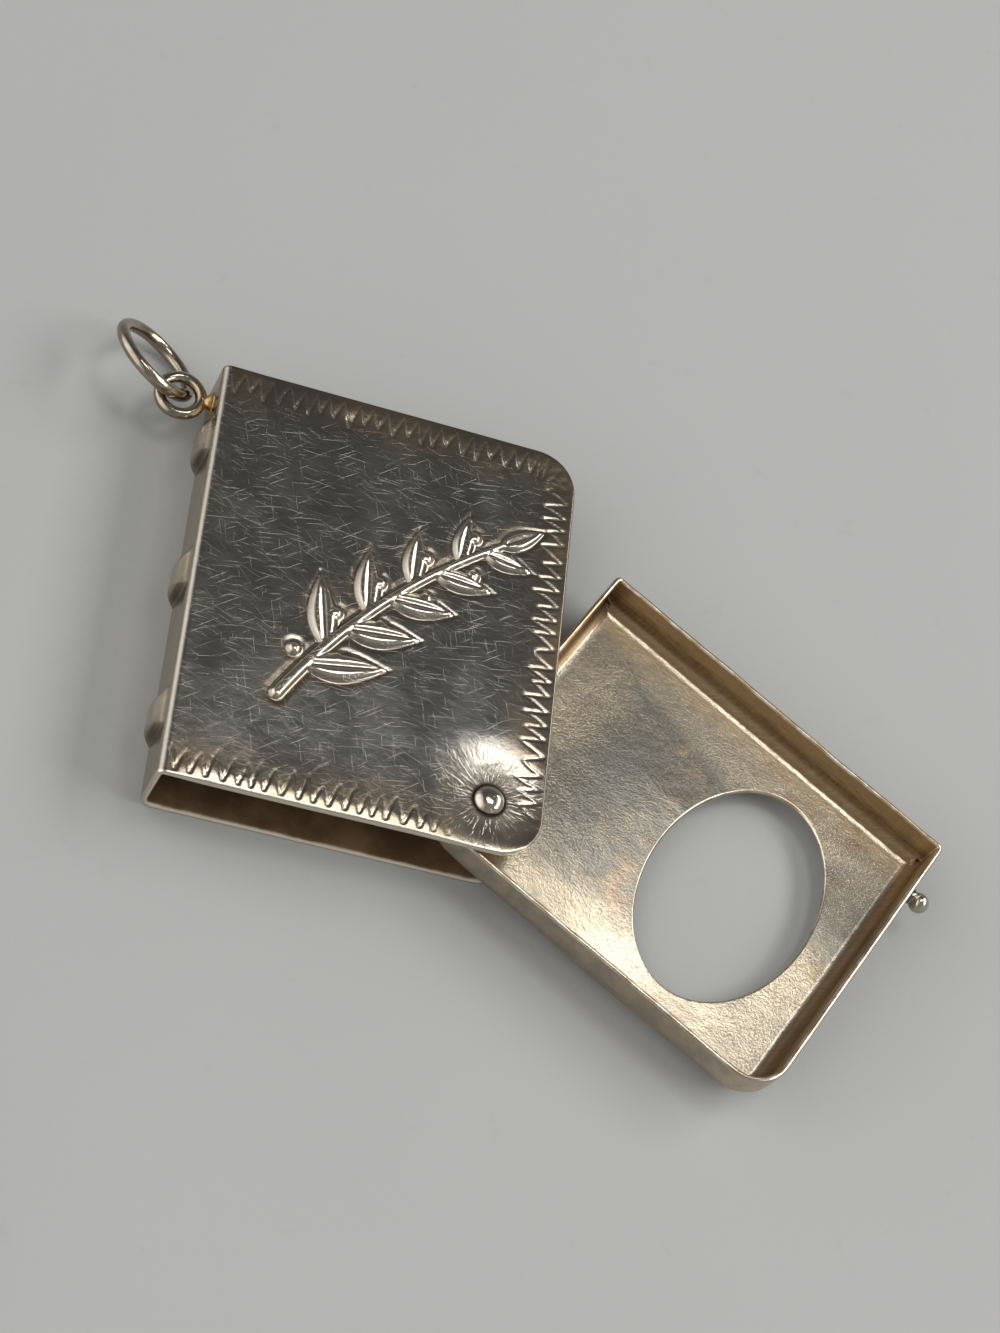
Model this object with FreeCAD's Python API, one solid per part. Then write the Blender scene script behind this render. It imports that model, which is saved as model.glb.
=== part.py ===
import FreeCAD, Part
import math
import os

# Stamp case in the form of a small book, lying on its back cover with the tray swung out.
# X runs from the spine to the fore-edge, Y from the book's foot to its head, Z up through the covers.
# The origin is the centre of the back cover's underside. All lengths are in millimetres.

# Cover sizes
cover_width = 24.0
cover_height = 29.0
case_thickness = 5.2
cover_sheet = 0.4
fore_corner_radius = 2.8
front_fold_radius = 0.5
back_fold_radius = 1.0

# Raised bands pressed out of the spine
band_width = 2.8
band_rise = 0.75
band_head_flank = 1.2
band_foot_flank = 0.4
band_height_shares = (0.165, 0.5, 0.835)
band_root_share = 0.5

# Pivot sizes
pivot_from_fore = 3.55
pivot_from_foot = 3.37
shank_radius = 0.6
head_radius = 0.97
head_rise = 0.55
tail_radius = 0.95
tail_depth = 0.25
tube_wall = 0.45
washer_radius = 1.7
washer_thickness = 0.85

# Dish that the riveting drew into the front cover
dish_radius = 5.2
dish_depth = 0.25
dish_seat_margin = 0.25

# Tray sizes
tray_sheet = 0.35
tray_corner_radius = 2.7
tray_edge_radius = 1.1
tray_fore_setback = 0.4
tray_foot_setback = 0.45
tray_head_setback = 1.17
finger_hole_width = 16.2
finger_hole_length = 11.2
finger_hole_from_head = 8.9
open_angle = 120.0

# Thumb ball sizes
ball_radius = 0.68
neck_base_radius = 0.72
neck_tip_radius = 0.5
neck_length = 0.45
ball_from_corner = 3.6

# Loop and jump ring sizes
loop_wire = 0.76
loop_hole = 1.96
loop_stand_off = 0.3
loop_from_head = 1.55
loop_foot_radius = 0.6
ring_wire = 0.88
ring_hole = 4.92
ring_heading = 131.0
ring_dip = 2.5
ring_roll = 42.0

# Clearances
swing_clearance = 0.2
rim_clearance = 0.4
axial_play = 0.04
running_fit = 0.05
rivet_fit = 0.02
overrun = 1.0

# Places worked out from the sizes above
spine_x = -cover_width / 2
fore_x = cover_width / 2
foot_y = -cover_height / 2
head_y = cover_height / 2
pivot_x = fore_x - pivot_from_fore
pivot_y = foot_y + pivot_from_foot
dish_top = case_thickness - dish_depth
dish_underside = dish_top - cover_sheet
tray_base = cover_sheet + washer_thickness + axial_play
tray_rim = case_thickness - cover_sheet - rim_clearance
tray_wall_height = tray_rim - tray_base

# Reach of the tray from its pivot, with the far corner's sweep clear of the spine
tray_to_fore = pivot_from_fore - tray_fore_setback
tray_to_foot = pivot_from_foot - tray_foot_setback
tray_to_head = cover_height - pivot_from_foot - tray_head_setback
corner_sweep = cover_width - pivot_from_fore - cover_sheet - swing_clearance
tray_to_spine = math.sqrt(corner_sweep ** 2 - tray_to_foot ** 2)

X_AXIS = FreeCAD.Vector(1, 0, 0)
Y_AXIS = FreeCAD.Vector(0, 1, 0)
Z_AXIS = FreeCAD.Vector(0, 0, 1)
ORIGIN = FreeCAD.Vector(0, 0, 0)


def point(x, y, z=0.0):
    return FreeCAD.Vector(x, y, z)


def filled(edges):
    """Flat face inside a closed run of edges."""
    return Part.Face(Part.Wire(edges))


def polygon(points):
    """Flat face with straight sides through the points."""
    return Part.Face(Part.makePolygon(points + points[:1]))


def arc(start, middle, end):
    return Part.Arc(start, middle, end).toShape()


def line(start, end):
    return Part.makeLine(start, end)


def quarter(centre, radius, start_angle, axis_u, axis_v):
    """Quarter circle about a centre, from start_angle in degrees, in the plane of two axes."""
    ends = []
    for step_share in (0.0, 0.5, 1.0):
        turn = math.radians(start_angle + 90.0 * step_share)
        ends.append(centre + axis_u * (radius * math.cos(turn)) + axis_v * (radius * math.sin(turn)))
    return arc(*ends)


def fore_rounded_face(x_low, x_high, y_low, y_high, radius):
    """Rectangle with square corners at low X and round corners at high X."""
    low_round = quarter(point(x_high - radius, y_low + radius), radius, -90.0, X_AXIS, Y_AXIS)
    high_round = quarter(point(x_high - radius, y_high - radius), radius, 0.0, X_AXIS, Y_AXIS)
    return filled([
        line(point(x_low, y_low), point(x_high - radius, y_low)),
        low_round,
        line(point(x_high, y_low + radius), point(x_high, y_high - radius)),
        high_round,
        line(point(x_high - radius, y_high), point(x_low, y_high)),
        line(point(x_low, y_high), point(x_low, y_low)),
    ])


def fold_run(inset):
    """Edges of the cover's section from the back's fore-edge round the spine to the front's fore-edge."""
    low = inset
    high = case_thickness - inset
    side = spine_x + inset
    back_round = back_fold_radius - inset
    front_round = front_fold_radius - inset
    back_centre = point(side + back_round, foot_y, low + back_round)
    front_centre = point(side + front_round, foot_y, high - front_round)
    return [
        line(point(fore_x, foot_y, low), point(side + back_round, foot_y, low)),
        quarter(back_centre, back_round, 180.0, X_AXIS, Z_AXIS),
        line(point(side, foot_y, low + back_round), point(side, foot_y, high - front_round)),
        quarter(front_centre, front_round, 90.0, X_AXIS, Z_AXIS),
        line(point(side + front_round, foot_y, high), point(fore_x, foot_y, high)),
    ]


def folded_sheet():
    """Sheet folded twice round the spine, before its corners are cut round."""
    low_end = line(point(fore_x, foot_y), point(fore_x, foot_y, cover_sheet))
    inner_top = point(fore_x, foot_y, case_thickness - cover_sheet)
    high_end = line(inner_top, point(fore_x, foot_y, case_thickness))
    edges = Part.sortEdges(fold_run(0.0) + fold_run(cover_sheet) + [low_end, high_end])[0]
    return filled(edges).extrude(Y_AXIS * cover_height)


def cover_prism():
    """Upright prism on the cover's outline, taller than the case."""
    face = fore_rounded_face(spine_x, fore_x, foot_y, head_y, fore_corner_radius)
    face.translate(Z_AXIS * -overrun)
    return face.extrude(Z_AXIS * (case_thickness + 2 * overrun))


def dish_slope(start, end):
    """Two arcs of one radius that leave and arrive level, from the seat up to the rim."""
    run = end.x - start.x
    rise = end.z - start.z
    radius = (run ** 2 + rise ** 2) / (4 * rise)
    half_turn = math.asin(run / 2 / radius) / 2
    side_step = radius * math.sin(half_turn)
    up_step = radius * (1 - math.cos(half_turn))
    middle = (start + end) * 0.5
    low_middle = start + X_AXIS * side_step + Z_AXIS * up_step
    high_middle = end - X_AXIS * side_step - Z_AXIS * up_step
    return [arc(start, low_middle, middle), arc(middle, high_middle, end)]


def dish_plate():
    """Round plate of sheet with a shallow dish, turned about the pivot."""
    seat_radius = head_radius + dish_seat_margin
    top_edges = dish_slope(point(seat_radius, 0, dish_top), point(dish_radius, 0, case_thickness))
    drop = Z_AXIS * -cover_sheet
    low_edges = []
    for edge in top_edges:
        low_edges.append(edge.translated(drop))
    centre_top = point(0, 0, dish_top)
    seat_top = point(seat_radius, 0, dish_top)
    rim_top = point(dish_radius, 0, case_thickness)
    sides = [
        line(centre_top, seat_top),
        line(rim_top, rim_top + drop),
        line(seat_top + drop, centre_top + drop),
        line(centre_top + drop, centre_top),
    ]
    section = filled(Part.sortEdges(top_edges + low_edges + sides)[0])
    plate = section.revolve(ORIGIN, Z_AXIS, 360)
    plate.translate(point(pivot_x, pivot_y))
    return plate


def spine_band(centre_y):
    """Ridge across the spine: level crest, long head flank, steep foot flank, dying out at both folds."""
    crest_x = spine_x - band_rise
    root_x = spine_x + cover_sheet * band_root_share
    half = band_width / 2
    low_z = back_fold_radius
    high_z = case_thickness - front_fold_radius
    ridge = polygon([
        point(root_x, centre_y - half, low_z),
        point(spine_x, centre_y - half, low_z),
        point(crest_x, centre_y - half + band_foot_flank, low_z),
        point(crest_x, centre_y + half - band_head_flank, low_z),
        point(spine_x, centre_y + half, low_z),
        point(root_x, centre_y + half, low_z),
    ]).extrude(Z_AXIS * (high_z - low_z))
    chord = high_z - low_z
    bulge_radius = (chord ** 2 / 4 + band_rise ** 2) / (2 * band_rise)
    bulge_base = point(crest_x + bulge_radius, centre_y - half - overrun, (low_z + high_z) / 2)
    bulge = Part.makeCylinder(bulge_radius, band_width + 2 * overrun, bulge_base, Y_AXIS)
    return ridge.common(bulge)


def book_cover():
    prism = cover_prism()
    cover = folded_sheet().common(prism)
    front_underside = case_thickness - cover_sheet
    dish_base = point(pivot_x, pivot_y, front_underside - dish_depth)
    cover = cover.cut(Part.makeCylinder(dish_radius, cover_sheet + dish_depth + overrun, dish_base))
    cover = cover.fuse(dish_plate().common(prism))
    bands = []
    hollows = []
    for height_share in band_height_shares:
        band = spine_band(foot_y + cover_height * height_share)
        bands.append(band)
        hollows.append(band.translated(X_AXIS * cover_sheet))
    cover = cover.fuse(bands).removeSplitter().cut(hollows)
    hole_base = point(pivot_x, pivot_y, -overrun)
    hole = Part.makeCylinder(shank_radius + rivet_fit, case_thickness + 2 * overrun, hole_base)
    sink = Part.makeCone(tail_radius + rivet_fit, shank_radius + rivet_fit, tail_depth, point(pivot_x, pivot_y))
    return cover.cut([hole, sink])


def dome(radius, rise, base):
    """Cap of a ball, with a flat round base."""
    ball_size = (radius ** 2 + rise ** 2) / (2 * rise)
    ball = Part.makeSphere(ball_size, base + Z_AXIS * (rise - ball_size))
    return ball.common(Part.makeCylinder(radius + overrun, rise + overrun, base))


def pivot_rivet():
    foot = point(pivot_x, pivot_y)
    shank = Part.makeCylinder(shank_radius, dish_top, foot)
    tail = Part.makeCone(tail_radius, shank_radius, tail_depth, foot)
    head = dome(head_radius, head_rise, foot + Z_AXIS * dish_top)
    return shank.fuse([tail, head]).removeSplitter()


def tube(outer_radius, inner_radius, base, height):
    bore = Part.makeCylinder(inner_radius, height + 2 * overrun, base - Z_AXIS * overrun)
    return Part.makeCylinder(outer_radius, height, base).cut(bore)


def floor_washer():
    base = point(pivot_x, pivot_y, cover_sheet)
    return tube(washer_radius, shank_radius + rivet_fit, base, washer_thickness)


def swung_open(shape):
    """Move a shape from the tray's own frame, with the pivot at its origin, to the open tray."""
    turn = FreeCAD.Rotation(Z_AXIS, -open_angle)
    shape.Placement = FreeCAD.Placement(point(pivot_x, pivot_y, tray_base), turn)
    return shape


def pan_block(inset, base, height, edge_radius):
    """Solid on the tray's outline, drawn in by inset, with a rounded lower edge."""
    face = fore_rounded_face(
        inset - tray_to_spine,
        tray_to_fore - inset,
        inset - tray_to_foot,
        tray_to_head - inset,
        tray_corner_radius - inset,
    )
    face.translate(Z_AXIS * base)
    block = face.extrude(Z_AXIS * height)
    low_edges = []
    for edge in block.Edges:
        if edge.BoundBox.ZMax < base + height / 2:
            low_edges.append(edge)
    return block.makeFillet(edge_radius, low_edges)


def tray_pan():
    outer = pan_block(0.0, 0.0, tray_wall_height, tray_edge_radius)
    inner = pan_block(tray_sheet, tray_sheet, tray_wall_height + overrun, tray_edge_radius - tray_sheet)
    hole_centre = point((tray_to_fore - tray_to_spine) / 2, tray_to_head - finger_hole_from_head, -overrun)
    oval = Part.Ellipse(hole_centre, finger_hole_width / 2, finger_hole_length / 2).toShape()
    finger_hole = filled([oval]).extrude(Z_AXIS * (tray_sheet + 2 * overrun))
    pivot_hole = Part.makeCylinder(shank_radius + running_fit, tray_sheet + 2 * overrun, Z_AXIS * -overrun)
    return swung_open(outer.cut([inner, finger_hole, pivot_hole]))


def pivot_tube():
    bore_radius = shank_radius + running_fit
    height = dish_underside - axial_play - tray_base - tray_sheet
    return swung_open(tube(bore_radius + tube_wall, bore_radius, Z_AXIS * tray_sheet, height))


def thumb_ball():
    seat = point(ball_from_corner - tray_to_spine, tray_to_head, tray_wall_height / 2)
    neck = Part.makeCone(neck_base_radius, neck_tip_radius, neck_length, seat, Y_AXIS)
    sink = math.sqrt(ball_radius ** 2 - neck_tip_radius ** 2)
    ball = Part.makeSphere(ball_radius, seat + Y_AXIS * (neck_length + sink))
    return swung_open(neck.fuse(ball))


def loop_centre():
    stand = loop_stand_off + loop_wire + loop_hole / 2
    return point(spine_x - stand, head_y - loop_from_head, case_thickness / 2)


def hanging_loop():
    centre = loop_centre()
    wire_radius = loop_wire / 2
    loop = Part.makeTorus((loop_hole + loop_wire) / 2, wire_radius, centre)
    foot_base = point(spine_x, centre.y, centre.z)
    foot = Part.makeCylinder(loop_foot_radius, loop_stand_off + wire_radius, foot_base, X_AXIS * -1)
    return loop.fuse(foot)


def jump_ring():
    """Ring threaded through the middle of the loop, dipped and rolled about its heading."""
    middle_radius = (ring_hole + ring_wire) / 2
    ring = Part.makeTorus(middle_radius, ring_wire / 2, X_AXIS * middle_radius)
    heading = FreeCAD.Rotation(Z_AXIS, ring_heading)
    dip = FreeCAD.Rotation(Y_AXIS, ring_dip)
    roll = FreeCAD.Rotation(X_AXIS, ring_roll)
    ring.Placement = FreeCAD.Placement(loop_centre(), heading.multiply(dip).multiply(roll))
    return ring


os.makedirs("parts", exist_ok=True)
pieces = {
    "book_cover": book_cover(),
    "pivot_rivet": pivot_rivet(),
    "floor_washer": floor_washer(),
    "tray_pan": tray_pan(),
    "pivot_tube": pivot_tube(),
    "thumb_ball": thumb_ball(),
    "hanging_loop": hanging_loop(),
    "jump_ring": jump_ring(),
}
for name, shape in pieces.items():
    shape.exportStep("parts/" + name + ".step")
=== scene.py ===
"""Looks of a silver stamp case in the form of a small book, with its tray swung out.

X runs from the spine to the fore-edge, Y from the book's foot to its head, Z up through the covers.
The origin is the centre of the back cover's underside. Lengths are in metres, as the frame's are.
"""

import math

import bpy
import numpy as np
from bpy.props import FloatProperty, FloatVectorProperty, PointerProperty
from mathutils import Matrix, Vector


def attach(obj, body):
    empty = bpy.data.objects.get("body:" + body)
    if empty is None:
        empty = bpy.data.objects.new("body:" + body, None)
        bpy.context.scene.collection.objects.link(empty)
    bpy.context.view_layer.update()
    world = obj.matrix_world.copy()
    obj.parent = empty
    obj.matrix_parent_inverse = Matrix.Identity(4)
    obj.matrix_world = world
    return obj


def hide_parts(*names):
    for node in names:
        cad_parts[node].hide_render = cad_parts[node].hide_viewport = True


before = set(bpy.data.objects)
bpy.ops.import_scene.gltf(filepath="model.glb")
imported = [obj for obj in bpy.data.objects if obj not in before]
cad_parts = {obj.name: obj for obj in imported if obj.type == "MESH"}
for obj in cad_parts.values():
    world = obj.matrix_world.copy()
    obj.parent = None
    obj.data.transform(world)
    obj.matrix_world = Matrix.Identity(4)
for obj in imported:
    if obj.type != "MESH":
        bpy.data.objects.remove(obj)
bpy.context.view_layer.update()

bl_info = {
    "name": "Silver stamp case",
    "version": (1, 0, 0),
    "blender": (4, 5, 0),
    "location": "View3D > Sidebar > Stamp case",
    "description": "Makes a book-shaped silver stamp case with a swinging tray",
    "category": "Add Mesh",
}

MM = 0.001
PER_MM = 1000.0
QUARTER_TURN = math.pi / 2
FULL_TURN = 2.0 * math.pi
SMALL_STEP = 0.01 * MM

# Further from an edge than any mark reaches, in metres or millimetres
FAR_AWAY = 50.0

# Sides of the smaller turned shapes
TURNED_SIDES = 48

# Numbers of the Mix node's factor and two colours, and of its mixed colour
MIX_COLOUR_INPUTS = (0, 6, 7)
MIX_COLOUR_RESULT = 2

# Angle in degrees and strength of each lay of scratches, and the shift from the noise of one to the next
SCRATCH_LAYS = ((4.0, 0.9), (-11.0, 0.9), (24.0, 0.8), (47.0, 0.7), (-36.0, 0.7), (76.0, 0.5))
SCRATCH_SHIFT = (17.3, 31.7)

# Where in the noise faint and deep scratches begin and are full
HAIR_PEAKS = (0.46, 0.8)
LINE_PEAKS = (0.77, 0.84)

# Width of the border's coloured line as a share of its cut's, and the strength of its painted highlight along
# the head
LINE_SHARE = 0.8
HEAD_LINE_BRIGHTNESS = 0.4

# Marks like spokes round the rivet
SPOKES_PER_RADIAN = 13.0

# Darker grey spots on the tray's floor: place across and along and reach, in millimetres, and strength
DARK_FLOOR_SPOTS = (
    (15.0, -7.4, 5.4, 1.0),
    (17.6, -5.0, 4.6, 1.0),
    (34.4, -11.8, 5.4, 0.8),
    (28.6, -21.6, 5.0, 0.5),
)
DARK_SPOT_HEIGHT = 1.0
DARK_SPOT_CORE_SHARE = 0.3

# Streaks to a millimetre along, across and up the tray's inner walls
WALL_STREAKS = (0.5, 0.5, 4.0)


# Settings that a user would change

def length(name, description, size):
    """Length property with its default given in millimetres."""
    return FloatProperty(name=name, description=description, default=size * MM, unit="LENGTH", precision=5)


def angle(name, description, degrees):
    """Angle property with its default given in degrees."""
    return FloatProperty(name=name, description=description, default=math.radians(degrees), subtype="ANGLE")


def share(name, description, value):
    """Plain share from 0 to 1."""
    return FloatProperty(
        name=name, description=description, default=value, min=0.0, max=1.0, subtype="FACTOR"
    )


def power(name, description, watts):
    """Power of a lamp."""
    return FloatProperty(name=name, description=description, default=watts, subtype="POWER")


def colour(name, description, red, green, blue):
    """Surface colour in linear light."""
    return FloatVectorProperty(
        name=name, description=description, default=(red, green, blue), min=0.0, max=1.0, subtype="COLOR"
    )


class CoverSizes(bpy.types.PropertyGroup):
    """Sizes of the folded cover and of what is pressed into it."""

    width: length("Width", "Spine to fore-edge", 24.0)
    height: length("Height", "Foot to head", 29.0)
    thickness: length("Thickness", "Over both covers", 5.2)
    sheet: length("Sheet", "Thickness of the folded sheet", 0.4)
    edge_round: length("Edge round", "Rounding of the sheet's worn edges", 0.15)
    corner_radius: length("Corner radius", "Round of the two fore corners", 2.8)
    front_fold: length("Front fold", "Outer radius of the fold at the front", 0.5)
    back_fold: length("Back fold", "Outer radius of the fold at the back", 1.0)
    band_width: length("Band width", "Width of a raised band on the spine", 2.8)
    band_rise: length("Band rise", "How far a band stands out", 0.75)
    band_head_flank: length("Band head flank", "Width of a band's gentle side, towards the head", 1.2)
    band_foot_flank: length("Band foot flank", "Width of a band's steep side, towards the foot", 0.4)
    dish_radius: length("Dish radius", "Reach of the dish round the rivet", 5.2)
    dish_depth: length("Dish depth", "Drop of the dish at the rivet", 0.25)
    seat_radius: length("Seat radius", "Level seat under the rivet's head", 1.22)
    foot_roll: length("Foot roll", "Drop of the front's foot edge", 0.12)
    foot_roll_reach: length("Foot roll reach", "Width of the rolled strip at the foot", 1.0)
    head_roll: length("Head roll", "Drop of the front's head edge", 0.07)
    buckle: length("Buckle", "Height of the front's gentle waves", 0.045)


class SprigSizes(bpy.types.PropertyGroup):
    """Sizes of the leafy sprig pressed up out of the front cover."""

    centre_x: length("Centre across", "Middle of the stem from the cover's middle", 0.9)
    centre_y: length("Centre up", "Middle of the stem from the cover's middle", -0.5)
    heading: angle("Heading", "Direction of the stem from the spine to the fore-edge", 47.0)
    half_length: length("Half length", "Half the length of the stem", 9.6)
    bow: length("Bow", "Sideways bend of the stem at its middle", 1.1)
    stem_width: length("Stem width", "Width of the stem at its foot", 0.95)
    leaf_length: length("Leaf length", "Length of the lowest leaf", 5.2)
    leaf_taper: share("Leaf taper", "Part of a leaf's length lost by the tip of the sprig", 0.38)
    leaf_angle: angle("Leaf angle", "Turn of a leaf from the stem", 46.0)
    berry_radius: length("Berry radius", "Radius of a berry", 0.56)
    rise: length("Rise", "Height of the sprig above the cover", 0.27)
    moat: length("Moat", "Sunk line round the sprig", 0.06)
    stain_reach: length("Stain reach", "Width of the tarnish round the sprig", 0.9)


class BorderSizes(bpy.types.PropertyGroup):
    """Sizes of the zigzag cut along three edges of the front cover."""

    pitch: length("Pitch", "Length of one zigzag along head and foot", 0.95)
    fore_pitch: length("Fore pitch", "Length of one zigzag along the fore-edge", 1.08)
    stroke: length("Stroke", "Reach of a stroke in from the edge", 1.45)
    margin: length("Margin", "Plain strip outside the strokes", 0.45)
    half_width: length("Half width", "Half the width of a cut", 0.11)
    depth: length("Depth", "Depth of a cut", 0.04)


class PivotSizes(bpy.types.PropertyGroup):
    """Sizes of the rivet that the tray swings on."""

    from_fore: length("From fore-edge", "Rivet's middle to the fore-edge", 3.55)
    from_foot: length("From foot", "Rivet's middle to the foot", 3.37)
    shank_radius: length("Shank radius", "Radius of the rivet's shank", 0.6)
    head_radius: length("Head radius", "Radius of the domed head", 0.97)
    head_rise: length("Head rise", "Height of the domed head", 0.55)
    tail_radius: length("Tail radius", "Radius of the flush tail", 0.95)
    tail_depth: length("Tail depth", "Depth of the flush tail", 0.25)
    cover_fit: length("Cover fit", "Gap round the rivet in the cover", 0.02)
    tray_fit: length("Tray fit", "Gap round the rivet in the tray", 0.05)


class TraySizes(bpy.types.PropertyGroup):
    """Sizes of the tray, measured from its pivot."""

    base: length("Base", "Tray's underside above the table", 1.29)
    wall_height: length("Wall height", "Height of the walls", 3.11)
    to_fore: length("To fore wall", "Pivot to the fore wall", 3.15)
    to_foot: length("To foot wall", "Pivot to the foot wall", 2.92)
    to_head: length("To head wall", "Pivot to the head wall", 24.46)
    to_spine: length("To spine wall", "Pivot to the spine wall", 19.634)
    sheet: length("Sheet", "Thickness of the tray's sheet", 0.35)
    edge_round: length("Edge round", "Rounding of the sheet's worn edges", 0.16)
    round_corner: length("Round corner", "Outer radius of the two fore corners", 2.7)
    square_corner: length("Square corner", "Outer radius of the two spine corners", 0.45)
    floor_edge: length("Floor edge", "Outer radius where floor meets wall", 1.25)
    hole_width: length("Hole width", "Finger hole, spine to fore", 16.2)
    hole_length: length("Hole length", "Finger hole, foot to head", 11.2)
    hole_from_head: length("Hole from head", "Finger hole's middle to the head wall", 8.9)
    rim_wave: length("Rim wave", "Unevenness of the rim", 0.05)
    floor_wave: length("Floor wave", "Unevenness of the floor", 0.04)
    floor_sag: length("Floor sag", "Drop of the floor along the fore wall", 0.6)
    brim_rise: length("Brim rise", "Rise of the floor along the spine wall", 0.03)
    open_angle: angle("Open angle", "How far the tray is swung out", 120.0)


class BallSizes(bpy.types.PropertyGroup):
    """Sizes of the thumb ball on the tray's head wall."""

    radius: length("Radius", "Radius of the ball", 0.68)
    neck_base: length("Neck base", "Radius of the neck at the wall", 0.72)
    neck_tip: length("Neck tip", "Radius of the neck at the ball", 0.5)
    neck_length: length("Neck length", "Length of the neck", 0.45)
    from_corner: length("From corner", "Neck's middle to the spine wall", 3.6)


class WireSizes(bpy.types.PropertyGroup):
    """Sizes of the loop on the spine and of the jump ring in it."""

    loop_wire: length("Loop wire", "Thickness of the loop's wire", 0.76)
    loop_hole: length("Loop hole", "Width of the loop's hole", 1.96)
    loop_stand_off: length("Loop stand-off", "Gap between the spine and the loop", 0.3)
    loop_from_head: length("Loop from head", "Loop's middle to the head", 1.55)
    solder_radius: length("Solder radius", "Radius of the solder where it meets the spine", 0.9)
    ring_wire: length("Ring wire", "Thickness of the jump ring's wire", 0.88)
    ring_hole: length("Ring hole", "Width of the jump ring's hole", 4.92)
    ring_heading: angle("Ring heading", "Direction in which the ring lies", 131.0)
    ring_dip: angle("Ring dip", "Slope of the ring down to the table", 2.5)
    ring_roll: angle("Ring roll", "Roll of the ring about its heading", 42.0)
    seam_swell: share("Seam swelling", "Swelling of the wire at a soldered seam", 0.03)


class FinishColours(bpy.types.PropertyGroup):
    """Colours of the worn silver, in linear light."""

    steel: colour("Steel grey", "Tarnished middle of the front cover", 0.226, 0.224, 0.214)
    umber: colour("Umber grey", "Warm tarnish near the cover's edges", 0.32, 0.25, 0.17)
    # Worn silver, which also serves as painted highlight round the rivet, along the cover's foot edge and at
    # the front fold
    rubbed_and_highlight: colour("Rubbed silver", "Silver laid bare by handling", 0.66, 0.60, 0.49)
    # Cut silver, which also serves as painted highlight in the border's lines and along the tray floor's brim
    bright_cut_and_highlight: colour("Bright cut", "Freshly cut silver in the border", 0.86, 0.78, 0.62)
    dull_cut: colour("Dull cut", "Tarnished silver in the border", 0.16, 0.135, 0.10)
    spine: colour("Spine", "Cover's spine and back", 0.40, 0.335, 0.25)
    # Dark colour for dirt in the lining's specks, and painted shade on the bands' foot sides, round the
    # rivet's head and at the ball's neck; it also darkens the cover's rounded edges away from the foot
    grime_and_shade: colour("Grime", "Dirt in corners", 0.055, 0.038, 0.024)
    inside_brown: colour("Inside brown", "Patina inside the cover", 0.13, 0.078, 0.04)
    inside_gold: colour("Inside gold", "Lighter patina inside the cover", 0.23, 0.143, 0.072)
    satin: colour("Satin silver", "Tray's floor", 0.70, 0.595, 0.435)
    satin_grey: colour("Satin grey", "Cooler patches on the tray's floor", 0.245, 0.238, 0.21)
    peach: colour("Peach stain", "Warm stains on the tray's floor", 0.56, 0.39, 0.235)
    # The brown lower part of the tray's inner walls is painted shade; the brown also colours dark specks
    wall_gold: colour("Wall gold", "Upper part of the tray's inner walls", 0.42, 0.295, 0.155)
    wall_brown: colour("Wall brown", "Lower part of the tray's inner walls", 0.23, 0.15, 0.078)
    wall_outside: colour("Wall outside", "Tray's outer walls", 0.53, 0.43, 0.32)
    polished: colour("Polished silver", "Rivet and thumb ball", 0.50, 0.45, 0.37)
    wire: colour("Wire silver", "Loop and jump ring", 0.37, 0.335, 0.275)
    wire_stain: colour("Wire stain", "Brown stain on the wire", 0.26, 0.19, 0.125)
    solder: colour("Solder", "Yellow solder at the loop's foot", 0.46, 0.31, 0.13)
    table: colour("Table", "Pale table top", 0.405, 0.41, 0.40)
    table_scuff: colour("Table scuff", "Faint scuffs on the table", 0.33, 0.335, 0.325)


class StageSettings(bpy.types.PropertyGroup):
    """Camera, lamps and table."""

    aim_x: length("Aim across", "Point on the table that the camera looks at", 9.732)
    aim_y: length("Aim up", "Point on the table that the camera looks at", 0.993)
    distance: length("Distance", "Camera to the point it looks at", 195.0)
    heading: angle("Heading", "Turn of the view from the book's height towards its fore-edge", 27.696)
    elevation: angle("Elevation", "Height of the camera above the table", 57.185)
    roll: angle("Roll", "Turn of the camera about its own line of sight", 38.111)
    focal: FloatProperty(name="Focal length", description="Lens in millimetres", default=81.89, min=1.0)
    table_size: length("Table size", "Width of the table top", 3000.0)
    window_power: power("Window", "Power of the window light", 11.5)
    ceiling_power: power("Ceiling", "Power of the overhead light", 0.5)


class StampCaseSettings(bpy.types.PropertyGroup):
    """All the settings of the stamp case."""

    cover: PointerProperty(type=CoverSizes)
    sprig: PointerProperty(type=SprigSizes)
    border: PointerProperty(type=BorderSizes)
    pivot: PointerProperty(type=PivotSizes)
    tray: PointerProperty(type=TraySizes)
    ball: PointerProperty(type=BallSizes)
    wire: PointerProperty(type=WireSizes)
    colours: PointerProperty(type=FinishColours)
    stage: PointerProperty(type=StageSettings)


# Small formulas

def eased(value, low, high):
    """Smooth step: 3 s^2 - 2 s^3, where s is the share of the way from low to high, held between 0 and 1."""
    part = np.clip((value - low) / (high - low), 0.0, 1.0)
    return part * part * (3.0 - 2.0 * part)


def unit(vectors):
    """Vectors along the last axis, each divided by its own length."""
    return vectors / np.linalg.norm(vectors, axis=-1, keepdims=True)


def bump(distance, reach):
    """Bell curve: e to the power of minus the square of distance over reach."""
    return np.exp(-(distance / reach) ** 2)


def worn_half(distance, sheet, rounding):
    """Half the sheet's thickness at a distance in from its edge.

    It is s / 2 - r + sqrt(r^2 - (r - d)^2), a quarter circle of the rounding r, and level from there on.
    """
    held = np.minimum(distance, rounding)
    return sheet / 2 - rounding + np.sqrt(rounding ** 2 - (rounding - held) ** 2)


# Meshes from grids

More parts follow.
